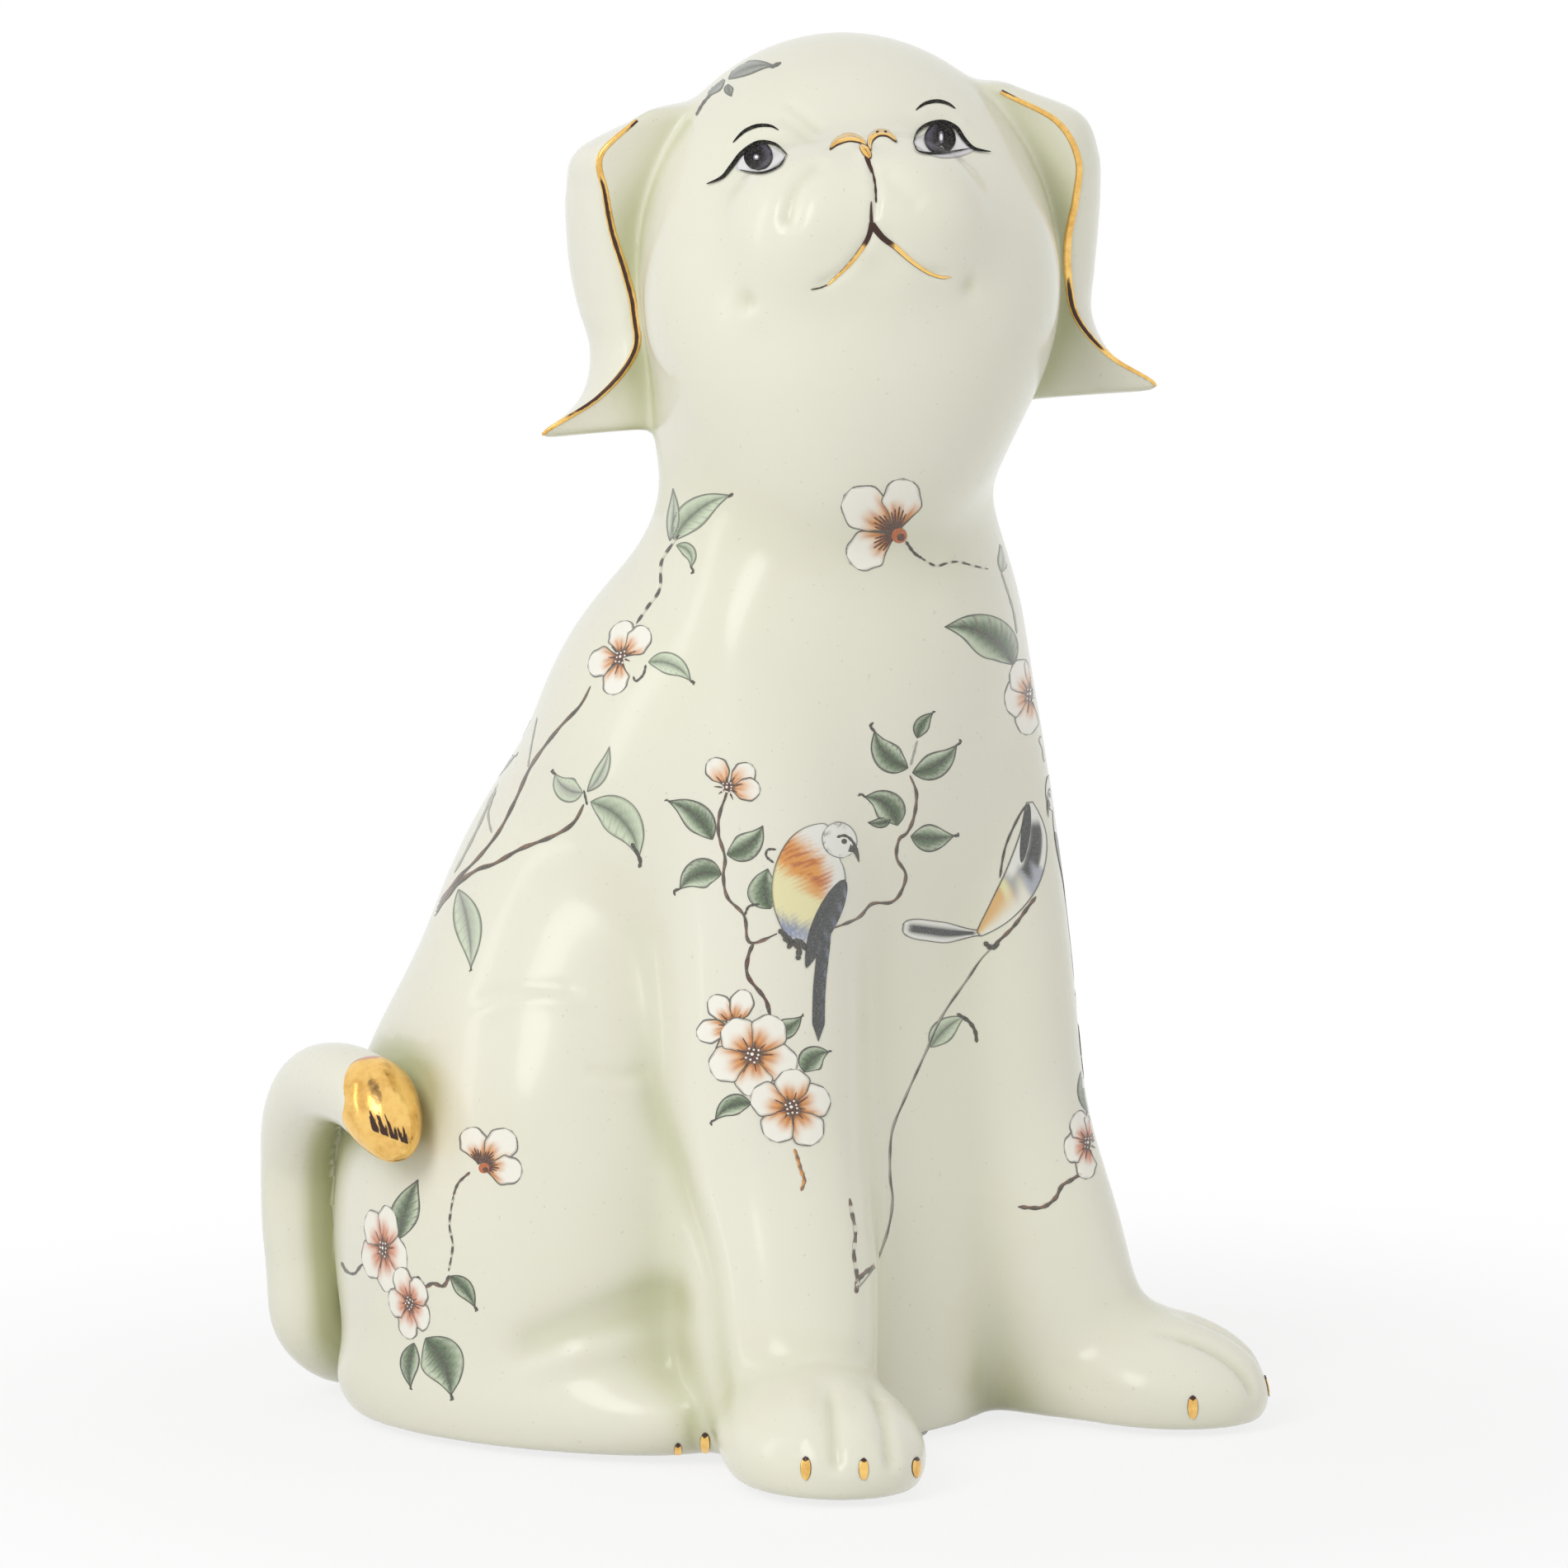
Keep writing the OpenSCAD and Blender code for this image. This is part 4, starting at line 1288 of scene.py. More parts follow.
@dataclass
class Print:
    """Strokes of ink or gold that are laid out in one view's pixels and settled on the figure."""

    surface: Surface
    look: Look
    mirrored: bool = False
    shift: tuple = (0.0, 0.0)
    coat: float = 0.026
    longest: float = 6.0
    strokes: list = field(default_factory=list)

    def stroke(self, spine: Sequence, widths: Callable, brush: Callable, level: float = 0,
               step: float = 3.0, columns: int = 9) -> None:
        """Lays out one stroke.

        Args:
            spine: Pixels that its middle line goes through.
            widths: Half its width in pixels, from the share along it.
            brush: Its ink, from a Cell.
            level: How many coats lie under it.
            step: Pixels between its rows.
            columns: How many points it has across.
        """
        line = along(spine, step)
        share = np.linspace(0, 1, len(line))
        ahead = np.gradient(line, axis=0)
        ahead = ahead / size_of(ahead)[:, None]
        aside = np.stack([-ahead[:, 1], ahead[:, 0]], 1)
        across = across_of(columns)
        half = np.maximum(widths(share), 0.05)
        place = line[:, None] + aside[:, None] * (half[:, None] * across)[..., None]
        u, v = np.meshgrid(share, across, indexing="ij")
        length = size_of(np.diff(line, axis=0)).sum()
        edge = np.minimum(half[:, None] * (1 - np.abs(v)), np.minimum(u, 1 - u) * length)
        self.strokes.append((place, brush(Cell(u, v, edge, place)), level))

    def line(self, spine: Sequence, width: float, ink: np.ndarray = LINE, level: float = 1,
             second: np.ndarray | None = None, dashes: float = 0.0) -> None:
        """Draws a thin line that thins out at its ends, of one ink or of two by turns, or dashed."""
        def brush(cell: Cell) -> np.ndarray:
            """Returns the line's ink."""
            base = cell.coat(ink)
            if second is not None:
                wave = np.sin(cell.along * len(spine) * 5.0) * 0.6 + cell.across
                base = tinted(base, second, soft(wave, -0.3, 0.6))
            if dashes:
                gaps = soft(np.sin(cell.along * dashes * 2 * np.pi + 1), -0.55, -0.25)
                base[..., 3] *= 0.12 + 0.88 * gaps
            return base
        self.stroke(spine, lambda u: width / 2 * np.clip(np.minimum(u, 1 - u) * 9 + 0.35, 0, 1)
                    * (1 + 0.22 * np.sin(u * len(spine) * 7.0)), brush, level, 2.6, 5)

    def leaf(self, base: tuple, tip: tuple, width: float, bend: float = 0.12, kind: Leaf = Leaf.DEEP,
             level: float = 0, hook: float = 0.0) -> None:
        """Draws one leaf with its veins.

        Args:
            base: Pixel where its stalk begins.
            tip: Pixel of its tip.
            width: Its whole width in pixels.
            bend: How far it bends to one side, as a share of its length.
            kind: How strongly it is painted.
            level: How many coats lie under it.
            hook: Length in pixels of the curl at its tip.
        """
        a, b = np.array(base, float), np.array(tip, float)
        run = b - a
        aside = np.array([-run[1], run[0]])
        middle = (a + b) / 2 + aside * bend * 0.8
        deep, light, weight = kind.value
        half = width / 2

        def widths(u: np.ndarray) -> np.ndarray:
            """Returns the leaf's outline."""
            return half * np.sin(np.pi * np.clip(u, 0, 1) ** 0.8) ** 1.1 + 0.6

        def brush(cell: Cell) -> np.ndarray:
            """Returns the leaf's shading, veins and outline."""
            slant = cell.along * 7.5 - np.abs(cell.across) * 1.1
            lopsided = np.where(cell.across * bend < 0, 1.15, 0.85)
            out = np.abs(cell.across) * lopsided + 0.1 * np.sin(slant * 6.3)
            lit = soft(out + 0.35 * (cell.along - 0.5), *((0.12, 1.02) if weight > 0.5 else (-0.1, 0.75)))
            base_ink = cell.coat(np.array(deep))
            shade = tinted(base_ink, np.array(light), lit)
            vein = (soft(np.sin(slant * 2 * np.pi), 0.6, 0.95) * soft(cell.edge, 1, 4)
                    * soft(cell.across, -1.4, 0.4))
            shade = tinted(shade, LINE * [1, 1, 1, weight + 0.2], vein * weight)
            rib = 1 - soft(np.abs(cell.across) * half, 0.5, 1.5)
            shade = tinted(shade, LINE, rib * (0.35 + weight * 0.6) * soft(1 - cell.along, 0.0, 0.25))
            return tinted(shade, LINE, (1 - soft(cell.edge, 1.3, 2.8)) * (0.62 + weight * 0.5))

        bow = aside * bend * 0.22
        self.stroke([a, (a + middle) / 2 + bow, middle, (b + middle) / 2 + bow, b], widths, brush, level,
                    2.6, 15)
        if hook:
            ahead = run / np.hypot(*run)
            side = np.array([-ahead[1], ahead[0]]) * (1 if bend < 0 else -1)
            self.line([b - ahead * 2, b + ahead * hook * 0.6, b + ahead * hook * 0.7 + side * hook * 0.5],
                      3.4, LINE, level + 1)

    def petal(self, heart: np.ndarray, tip: np.ndarray, width: float, level: float, warm: float,
              tone: np.ndarray = AMBER, blush: np.ndarray = PETAL) -> None:
        """Draws one petal from the heart of its blossom to its tip."""
        run = tip - heart
        length = np.hypot(*run)
        half = width / 2

        def widths(u: np.ndarray) -> np.ndarray:
            """Returns the petal's outline."""
            swell = 0.2 + 0.8 * soft(u, 0.0, 0.55)
            cap = np.sqrt(np.clip(1 - (np.clip(u - 0.58, 0, 1) / 0.42) ** 2, 0, 1))
            return half * swell * cap * (1 + 0.05 * np.sin(u * 17 + half))

        def brush(cell: Cell) -> np.ndarray:
            """Returns the petal's colours, from its dark foot to its pale rim."""
            base = cell.coat(blush)
            glow = 1 - soft(cell.along + 0.06 * np.sin(cell.across * 6), 0.2, 0.2 + 0.75 * warm)
            base = tinted(base, tone, glow)
            fan = soft(np.sin(cell.across * 11 + 0.7), 0.2, 0.8) * (1 - soft(cell.along, 0.3, 0.62))
            base = tinted(base, RUST, fan * 0.75)
            base = tinted(base, UMBER, 1 - soft(cell.along + 0.05 * np.sin(cell.across * 14), 0.1, 0.3))
            return tinted(base, LINE, 1 - soft(cell.edge, 1.1, 2.7))

        mid = heart + run * 0.5 + np.array([-run[1], run[0]]) * 0.03
        self.stroke([heart + run * 0.04, mid, tip], widths, brush, level, max(2.2, length / 18), 15)

    def blossom(self, heart: tuple, radius: float, spin: float = 0.0, squash: tuple = (1.0, 1.0, 0.0),
                petals: Sequence[float] = (0, 72, 144, 216, 288), warm: float = 0.75, level: float = 1,
                tone: np.ndarray = AMBER, blush: np.ndarray = PETAL, broad: float = 1.05) -> None:
        """Draws a blossom of round petals about a dark heart.

        Args:
            heart: Pixel of its middle.
            radius: Length of a petal in pixels.
            spin: Turn of the whole blossom in degrees.
            squash: Its two sizes as shares, and the direction of the first in degrees.
            petals: Directions of its petals in degrees.
            warm: How far the colour of the heart spreads.
            level: How many coats lie under it.
            tone: Colour round the heart.
            blush: Colour of the rims.
            broad: Width of a petal as a share of its length.
        """
        h = np.array(heart, float)
        c, s = math.cos(math.radians(squash[2])), math.sin(math.radians(squash[2]))
        axes = np.array([[c, -s], [s, c]])
        press = axes @ np.diag(squash[:2]) @ axes.T
        first = len(self.strokes)
        for i, way in enumerate(petals):
            a = math.radians(way + spin)
            ray = np.array([math.cos(a), math.sin(a)]) * radius * (1 + 0.05 * math.sin(3 * i + spin))
            self.petal(h, h + ray, radius * broad, level + 0.2 * i, warm, tone, blush)
        for i in range(9):
            a = math.radians(spin + 25 + i * 40)
            ray = np.array([math.cos(a), math.sin(a)]) * radius
            self.line([h + ray * 0.05, h + ray * (0.32 + 0.07 * (i % 3))], 1.8, UMBER, level + 1.4)
            self.disc(h + ray * (0.12 + 0.05 * (i % 2)), radius * 0.028, PETAL, level + 2.0)
        self.disc(heart, radius * 0.1, UMBER, level + 1.6)
        self.disc((h[0] - radius * 0.02, h[1] - radius * 0.02), radius * 0.04, PETAL, level + 2.0)
        for i in range(first, len(self.strokes)):
            place, ink, own = self.strokes[i]
            self.strokes[i] = (h + (place - h) @ press.T, ink, own)

    def disc(self, heart: tuple, radius: float, ink: np.ndarray, level: float = 2,
             tall: float = 1.0) -> None:
        """Fills a round or tall spot."""
        x, y = heart
        self.stroke([(x, y - radius * tall), (x, y), (x, y + radius * tall)],
                    rounded(radius),
                    lambda cell: cell.coat(ink), level,
                    max(0.8, radius * tall / 8), 11)

    def pixels(self, place: np.ndarray) -> np.ndarray:
        """Returns the pixels of this view for the laid-out ones."""
        moved = place + self.shift
        if self.mirrored:
            moved = moved * [-1, 1] + [2 * self.look.middle, 0]
        return moved

    def settle(self, name: str, material: bpy.types.Material, slot: str = "glaze", lift: float = 0.05,
               rise: float = 0.0, steep: float = 0.16, replaced: Sequence[str] = ()) -> bpy.types.Object:
        """Lays the strokes on the figure as one piece.

        Args:
            name: Its name.
            material: Its finish.
            slot: Handed on to piece, which does not use it.
            lift: Height of the ink over the glaze, in millimetres.
            rise: Further height of a stroke's middle.
            steep: Least slant of the surface towards the view at which ink is laid.
            replaced: The CAD nodes it stands for.

        Returns:
            The piece.
        """
        places = np.concatenate([self.pixels(p).reshape(-1, 2) for p, _, _ in self.strokes])
        eye = self.look.eye()
        rays = self.look.rays(places)
        spots, pool = self.surface.hit(eye, rays)
        good = ~np.isnan(spots[:, 0])
        normals = np.zeros_like(spots)
        normals[good] = self.surface.normals(spots[good])
        good &= -(normals * rays).sum(1) > steep
        points, inks, kept, start = [], [], [], 0
        for place, ink, level in self.strokes:
            rows, columns = place.shape[:2]
            count = rows * columns
            part = slice(start, start + count)
            v = across_of(columns)
            height = lift + self.coat * level + rise * np.tile(np.sqrt(1 - v * v), rows)
            points.append(spots[part] + normals[part] * height[:, None])
            inks.append(ink.reshape(-1, 4))
            quads = grid_faces(rows, columns, start)
            kept.append(quads[good[quads].all(1)])
            start += count
        points, inks, faces = np.concatenate(points), np.concatenate(inks), np.concatenate(kept)
        span = size_of(points[faces[:, 0]] - points[faces[:, 2]])
        faces = faces[span < self.longest]
        face_outwards(faces, points, normals)
        used, rings = part_of(points, list(faces), np.ones(len(faces), bool))
        marks = {"pool": pool[used], "ink": inks[used]}
        shown = normals[used] if rise == 0 else None
        return piece(name, points[used], rings, material, shown, marks, slot, replaced)


@dataclass
class Decoration:
    """The traditional flower-and-bird print and the painted eyes, in their places on the figure."""

    surface: Surface
    glaze: bpy.types.Material
    look: Look
    near_slant: float = 0.16
    far_slant: float = 0.32

    def build(self) -> list[bpy.types.Object]:
        """Lays every group of strokes.

        Returns:
            The pieces.
        """
        front, left, rear = self.look, Look(azimuth=45.0), Look(azimuth=180.0)
        groups = [(name, (front,), self.near_slant, motifs) for name, *motifs in (
            ("shoulder_spray", self.shoulder_spray),
            ("chest_blossom", self.chest_blossom),
            ("middle_spray", self.middle_spray, self.resting_bird),
            ("right_branch", self.upright_twig, self.turning_bird),
            ("leg_blossom", self.leg_blossom),
            ("haunch_spray", self.haunch_spray),
            ("forehead_sprig", self.forehead_sprig))]
        groups += [(name, view, self.far_slant, motifs) for name, view, *motifs in (
            ("left_shoulder_spray", (left, True), self.shoulder_spray, self.haunch_spray),
            ("left_spray", (left, True, (-70, -10)), self.middle_spray, self.resting_bird),
            ("rear_spray", (rear, False, (40, 40)), self.middle_spray, self.upright_twig))]
        made = []
        for name, view, slant, motifs in groups:
            layout = Print(self.surface, *view)
            for motif in motifs:
                motif(layout)
            made.append(layout.settle(name, self.glaze, steep=slant))
        eyes = Print(self.surface, front)
        self.right_eye(eyes)
        self.left_eye(eyes)
        made.append(eyes.settle("eyes", self.glaze, lift=0.12, steep=0.02))
        return made

    def shoulder_spray(self, p: Print) -> None:
        """Draws the sprig that comes down the back of the shoulder."""
        p.leaf((812, 656), (816, 592), 15, 0.05, Leaf.GREY)
        p.leaf((817, 655), (886, 600), 34, -0.14, Leaf.PALE)
        p.line([(883, 603), (889, 598)], 4)
        p.leaf((820, 661), (838, 688), 16, -0.32, Leaf.PALE, hook=9)
        p.line([(824, 648), (815, 660), (802, 682), (800, 714), (786, 735), (771, 757)], 3.2, dashes=6.5)
        p.blossom((753, 797), 46, 0, (0.8, 1.06, 30), (95, 172, 262, 318), 0.6, 1, PEACH, PETAL, 0.82)
        p.leaf((786, 803), (838, 826), 26, -0.2, Leaf.PALE, hook=6)
        p.line([(783, 806), (780, 818), (771, 826), (768, 820)], 2.8)
        p.line([(716, 832), (703, 856), (676, 885), (645, 927), (625, 970), (605, 1008), (580, 1040),
                (552, 1069), (523, 1110)], 3.6, LINE, second=BARK)
        p.line([(640, 930), (645, 900), (651, 870)], 1.6, PALE_LINE)
        p.line([(627, 906), (603, 950), (581, 1000), (562, 1038), (551, 1058)], 2.6, PALE_LINE)
        p.line([(596, 1010), (592, 985), (601, 958)], 2.4, PALE_LINE)
        p.line([(708, 975), (695, 998), (670, 1014), (632, 1029), (600, 1047), (578, 1055), (552, 1075),
                (516, 1122)], 4.6, LINE, second=BARK)
        p.leaf((707, 961), (673, 938), 30, -0.22, Leaf.GREY, hook=7)
        p.leaf((712, 960), (739, 905), 16, 0.1, Leaf.GREY)
        p.line([(712, 976), (708, 958)], 2.6)
        p.leaf((716, 972), (775, 1040), 44, -0.2, Leaf.PALE)
        p.line([(766, 1022), (776, 1042), (775, 1052)], 4.5)
        p.leaf((556, 1078), (571, 1174), 33, -0.06, Leaf.GREY, hook=5)

    def chest_blossom(self, p: Print) -> None:
        """Draws the blossom seen from the side, its stem, and what hangs beyond it."""
        self.side_blossom(p, (1086, 646), 78, (216, 278, 146), (1.0, 0.86, 0.86))
        p.line([(1098, 656), (1108, 670), (1118, 677)], 3.4)
        p.line([(1116, 676), (1134, 686), (1147, 683), (1161, 681), (1180, 686), (1198, 690)],
               2.6, dashes=6)
        p.leaf((1214, 694), (1212, 660), 12, 0.1, Leaf.GREY)
        p.line([(1214, 694), (1222, 718), (1229, 742), (1233, 768)], 2.2, PALE_LINE)
        p.leaf((1230, 806), (1145, 760), 50, 0.2, Leaf.DEEP)
        p.line([(1222, 796), (1231, 808)], 4)
        p.blossom((1249, 842), 48, 0, (0.66, 1.05, 0), (100, 168, 225, 285), 0.6, 1, PEACH, PETAL, 0.9)
        p.line([(1262, 892), (1270, 925), (1281, 964)], 7, PALE_LINE)

    def side_blossom(self, p: Print, heart: tuple, radius: float, petals: tuple, sizes: tuple) -> None:
        """Draws a blossom seen from the side: a few petals that fan out from a round calyx."""
        h = np.array(heart, float)
        for i, (way, size) in enumerate(zip(petals, sizes)):
            a = math.radians(way)
            tip = h + np.array([math.cos(a), math.sin(a)]) * radius * size
            p.petal(h, tip, radius * 0.72 * size, 1 + 0.25 * i, 0.55)
            for turn_by in (-20, -10, 0, 10, 20):
                b = a + math.radians(turn_by)
                ray = np.array([math.cos(b), math.sin(b)]) * radius
                p.line([h + ray * 0.1, h + ray * (0.42 - abs(turn_by) * 0.004)], 2.2, UMBER, 2.4)
        p.disc((h[0] + 4, h[1] + 3), radius * 0.12, RUST, 2.6)
        p.disc((h[0] + 6, h[1] + 5), radius * 0.06, UMBER, 2.8)

    def middle_spray(self, p: Print) -> None:
        """Draws the spray on the shoulder, from its small blossom to the two large ones."""
        p.blossom((882, 955), 41, 0, (1, 1, 0), (238, 318, 2), 0.9, 1, PEACH, PETAL, 0.72)
        p.line([(882, 961), (873, 985), (871, 1010), (879, 1040), (877, 1062), (882, 1088), (902, 1110),
                (906, 1138), (916, 1143), (942, 1132)], 3.8, LINE, second=BARK)
        p.line([(914, 1143), (907, 1160), (907, 1184), (929, 1214), (935, 1247)], 4.6, UMBER, second=LINE)
        p.leaf((864, 1018), (810, 971), 34, 0.14, Leaf.DEEP, hook=5)
        p.leaf((881, 1036), (925, 1001), 33, 0.16, Leaf.DEEP)
        p.leaf((875, 1060), (824, 1078), 36, 0.22, Leaf.DEEP, hook=11)
        p.line([(903, 1110), (908, 1099), (921, 1096)], 3)
        p.leaf((934, 1102), (931, 1053), 42, -0.14, Leaf.DEEP)
        p.blossom((889, 1244), 46, 0, (1, 1, 0), (100, 165, 232, 288), 0.6, 0.2, AMBER, PETAL, 0.66)
        p.leaf((934, 1253), (972, 1232), 24, 0.12, Leaf.DEEP, hook=4)
        p.leaf((975, 1300), (1005, 1275), 31, -0.2, Leaf.DEEP, hook=4)
        p.leaf((911, 1338), (867, 1358), 25, 0.2, Leaf.DEEP, hook=9)
        p.blossom((913, 1279), 53, 14, warm=0.68, level=2.6, broad=0.86)
        p.blossom((960, 1343), 50, -20, warm=0.68, level=5.0, broad=0.86)
        p.line([(963, 1393), (967, 1405), (971, 1419), (975, 1431), (971, 1444)], 4.4, BARK, second=AMBER)

    def resting_bird(self, p: Print) -> None:
        """Draws the small bird that sits on the spray."""
        def plumage(cell: Cell) -> np.ndarray:
            """Returns the orange back, the straw belly and the blue-grey flank."""
            x, y = cell.place[..., 0], cell.place[..., 1]
            barbs = np.sin(x * 0.9 + y * 0.5) * np.sin(x * 0.31 - y * 0.62)
            base = cell.coat(WHITE)
            slope = y - 1029 - (x - 945) * 0.8 + barbs * 8
            left = soft(1008 - x + barbs * 4, -6, 16)
            base = tinted(base, STRAW, left * soft(slope, 0, 22))
            base = tinted(base, AMBER, left * soft(slope, -46, -14) * (1 - soft(slope, 10, 34)))
            base = tinted(base, RUST, left * soft(slope, -26, -10) * (1 - soft(slope, 6, 16))
                          * soft(barbs, -0.2, 0.4))
            base = tinted(base, BLUE_GREY, soft(y - (x - 940) * 0.35 + barbs * 6, 1098, 1122))
            base = tinted(base, WHITE, soft(y + barbs * 9, 1128, 1150) * 0.7)
            return tinted(base, LINE, (1 - soft(cell.edge, 0.8, 2.0)) * 0.9)

        def cap(cell: Cell) -> np.ndarray:
            """Returns the pale head with its speckled neck."""
            x, y = cell.place[..., 0], cell.place[..., 1]
            base = cell.coat(WHITE)
            ring = np.hypot(x - 1017, y - 1021)
            speckle = soft(np.sin(x * 1.9) * np.sin(y * 1.7), 0.1, 0.6) * soft(ring, 13, 20)
            base = tinted(base, SLATE, speckle * 0.7 * soft(1028 - x, 0, 12))
            return tinted(base, LINE, 1 - soft(cell.edge, 0.7, 1.8))

        def slate(cell: Cell) -> np.ndarray:
            """Returns dark feathers with a bluish edge."""
            base = cell.coat(SLATE)
            barbs = soft(np.sin(cell.along * 40 + cell.across * 5), 0.2, 0.9)
            return tinted(base, BLUE_GREY, barbs * soft(-cell.across, 0.1, 0.8) * (1 - cell.along) * 0.8)

        p.line([(938, 1046), (929, 1038), (931, 1030), (941, 1030)], 2.8)
        p.stroke([(1006, 1002), (986, 1036), (979, 1088), (974, 1151)],
                 swelling(45, 0.66), plumage, 2, 3.0, 27)
        p.stroke([(1003, 1001), (1017, 1018), (1030, 1037)],
                 rounded(21), cap, 3, 2.2, 17)
        p.stroke([(1000, 1112), (999, 1140), (993, 1200), (992, 1263)],
                 lambda u: 7.5 * np.clip(np.minimum(u * 6 + 0.5, (1 - u) * 7), 0, 1), slate, 3, 4, 9)
        p.stroke([(1024, 1066), (1010, 1096), (990, 1138), (977, 1174)],
                 lambda u: 14 * np.sin(np.pi * np.clip(u, 0, 1) ** 0.8) ** 0.7, slate, 4, 3, 13)
        p.disc((1023, 1020), 3.4, LINE, 4)
        p.line([(1014, 1015), (1024, 1013), (1033, 1020), (1039, 1032)], 3.4, LINE, 4)
        p.stroke([(1029, 1028), (1037, 1032), (1041, 1045)], lambda u: 4.2 * (1 - u) + 0.4,
                 lambda cell: cell.coat(LINE), 4.4, 1.5, 7)
        for foot in ([(944, 1127), (954, 1136), (962, 1143)], [(949, 1137), (958, 1143), (955, 1150)],
                     [(957, 1141), (968, 1149), (967, 1164)], [(962, 1140), (972, 1143), (976, 1152)]):
            p.line(foot, 6.5, LINE, 4)

    def upright_twig(self, p: Print) -> None:
        """Draws the leafy twig beside the bird, from its top to the perch."""
        p.line([(1103, 940), (1111, 962), (1108, 990), (1100, 1009), (1090, 1018), (1087, 1040),
                (1098, 1060), (1092, 1082), (1080, 1094), (1057, 1096), (1040, 1113), (1008, 1126)],
               3.6, LINE, second=BARK)
        p.leaf((1101, 931), (1060, 886), 34, -0.18, Leaf.DEEP, hook=12)
        p.leaf((1112, 895), (1131, 864), 18, -0.12, Leaf.DEEP, hook=4)
        p.line([(1104, 928), (1112, 898)], 2.4, PALE_LINE)
        p.leaf((1106, 937), (1160, 903), 31, 0.14, Leaf.DEEP, hook=9)
        p.leaf((1088, 1001), (1048, 966), 36, 0.24, Leaf.DEEP, hook=9)
        p.leaf((1080, 994), (1052, 997), 12, -0.1, Leaf.DEEP)
        p.leaf((1104, 1014), (1157, 1013), 33, 0.06, Leaf.DEEP, hook=7)

    def turning_bird(self, p: Print) -> None:
        """Draws the bird that lands on the far branch, and that branch."""
        def fan(cell: Cell) -> np.ndarray:
            """Returns the white tail blade with its dark stripe."""
            base = cell.coat(WHITE)
            stripe = (1 - soft(np.abs(cell.across), 0.35, 0.6)) * soft(cell.along, 0.02, 0.1)
            base = tinted(base, SLATE, stripe * (1 - soft(cell.along, 0.88, 0.96)))
            return tinted(base, LINE, 1 - soft(cell.edge, 0.8, 1.9))

        def plumage(cell: Cell) -> np.ndarray:
            """Returns the straw belly, the blue-grey middle and the dark wing."""
            barbs = np.sin(cell.along * 38 + cell.across * 4) * 0.05
            base = cell.coat(STRAW)
            base = tinted(base, WHITE, soft(cell.across, -0.6, 0.6) * 0.8)
            base = tinted(base, AMBER, soft(0.4 - cell.along + barbs, 0, 0.1)
                          * soft(-cell.across, -0.7, 0.7) * 0.7)
            base = tinted(base, BLUE_GREY, soft(cell.along + barbs, 0.34, 0.48) * 0.7)
            base = tinted(base, WHITE, soft(-cell.across + cell.along * 0.3, 0.45, 0.75)
                          * soft(cell.along, 0.4, 0.5))
            base = tinted(base, WHITE, soft(cell.along + barbs, 0.56, 0.64))
            dark = soft(cell.along + barbs, 0.5, 0.58) * (1 - soft(np.abs(cell.across - 0.22), 0.34, 0.5))
            base = tinted(base, SLATE, dark * (1 - soft(cell.along, 0.82, 0.9)))
            return tinted(base, LINE, 1 - soft(cell.edge, 0.7, 1.8))

        def blade(u: np.ndarray) -> np.ndarray:
            """Returns the outline of the tail blade."""
            cap = np.sqrt(np.clip(1 - (np.clip(u - 0.75, 0, 1) / 0.25) ** 2, 0, 1))
            return 4 + 9 * soft(u, 0, 0.5) * cap

        p.stroke([(1188, 1131), (1150, 1131), (1116, 1127), (1094, 1124)], blade, fan, 1, 3, 13)
        p.stroke([(1186, 1133), (1215, 1102), (1240, 1062), (1252, 1015), (1248, 972)],
                 swelling(22, 0.75, 0.94, 0.03), plumage, 2, 3, 21)
        p.line([(1212, 1064), (1219, 1026), (1236, 988), (1247, 974)], 2.4, LINE, 3)
        p.stroke([(1238, 1046), (1243, 1010), (1247, 975)], lambda u: 5 * np.sin(np.pi * u) ** 0.6 + 0.5,
                 lambda cell: cell.coat(SLATE), 3, 3, 7)
        p.line([(1256, 1087), (1246, 1100), (1228, 1124), (1205, 1146)], 4, LINE, second=BARK)
        p.line([(1193, 1142), (1202, 1149), (1211, 1143)], 6, LINE, 3)
        p.line([(1206, 1146), (1190, 1162), (1172, 1188), (1142, 1232), (1123, 1274), (1096, 1334),
                (1081, 1374), (1079, 1425), (1082, 1455), (1076, 1493), (1060, 1535), (1040, 1562)],
               2.6, LINE, second=PALE_LINE)
        p.leaf((1128, 1270), (1170, 1232), 27, -0.1, Leaf.PALE)
        p.line([(1160, 1229), (1174, 1238), (1182, 1250), (1184, 1264)], 4.4)
        p.line([(1030, 1453), (1033, 1472), (1037, 1494), (1035, 1520), (1038, 1540), (1040, 1566)],
               4, LINE, second=BARK, dashes=5)
        p.line([(1062, 1534), (1050, 1542), (1040, 1553), (1038, 1568)], 5, LINE, second=BARK)

    def leg_blossom(self, p: Print) -> None:
        """Draws the blossom at the edge of the far leg."""
        p.leaf((1320, 1350), (1314, 1290), 16, -0.06, Leaf.DEEP)
        p.blossom((1319, 1386), 41, 0, (0.72, 1.08, 0), (96, 165, 232, 292), 0.6, 1, ROSE, PETAL, 0.88)
        p.line([(1312, 1422), (1298, 1431), (1287, 1438), (1279, 1453), (1262, 1464), (1234, 1463)],
               4.6, LINE, second=BARK)

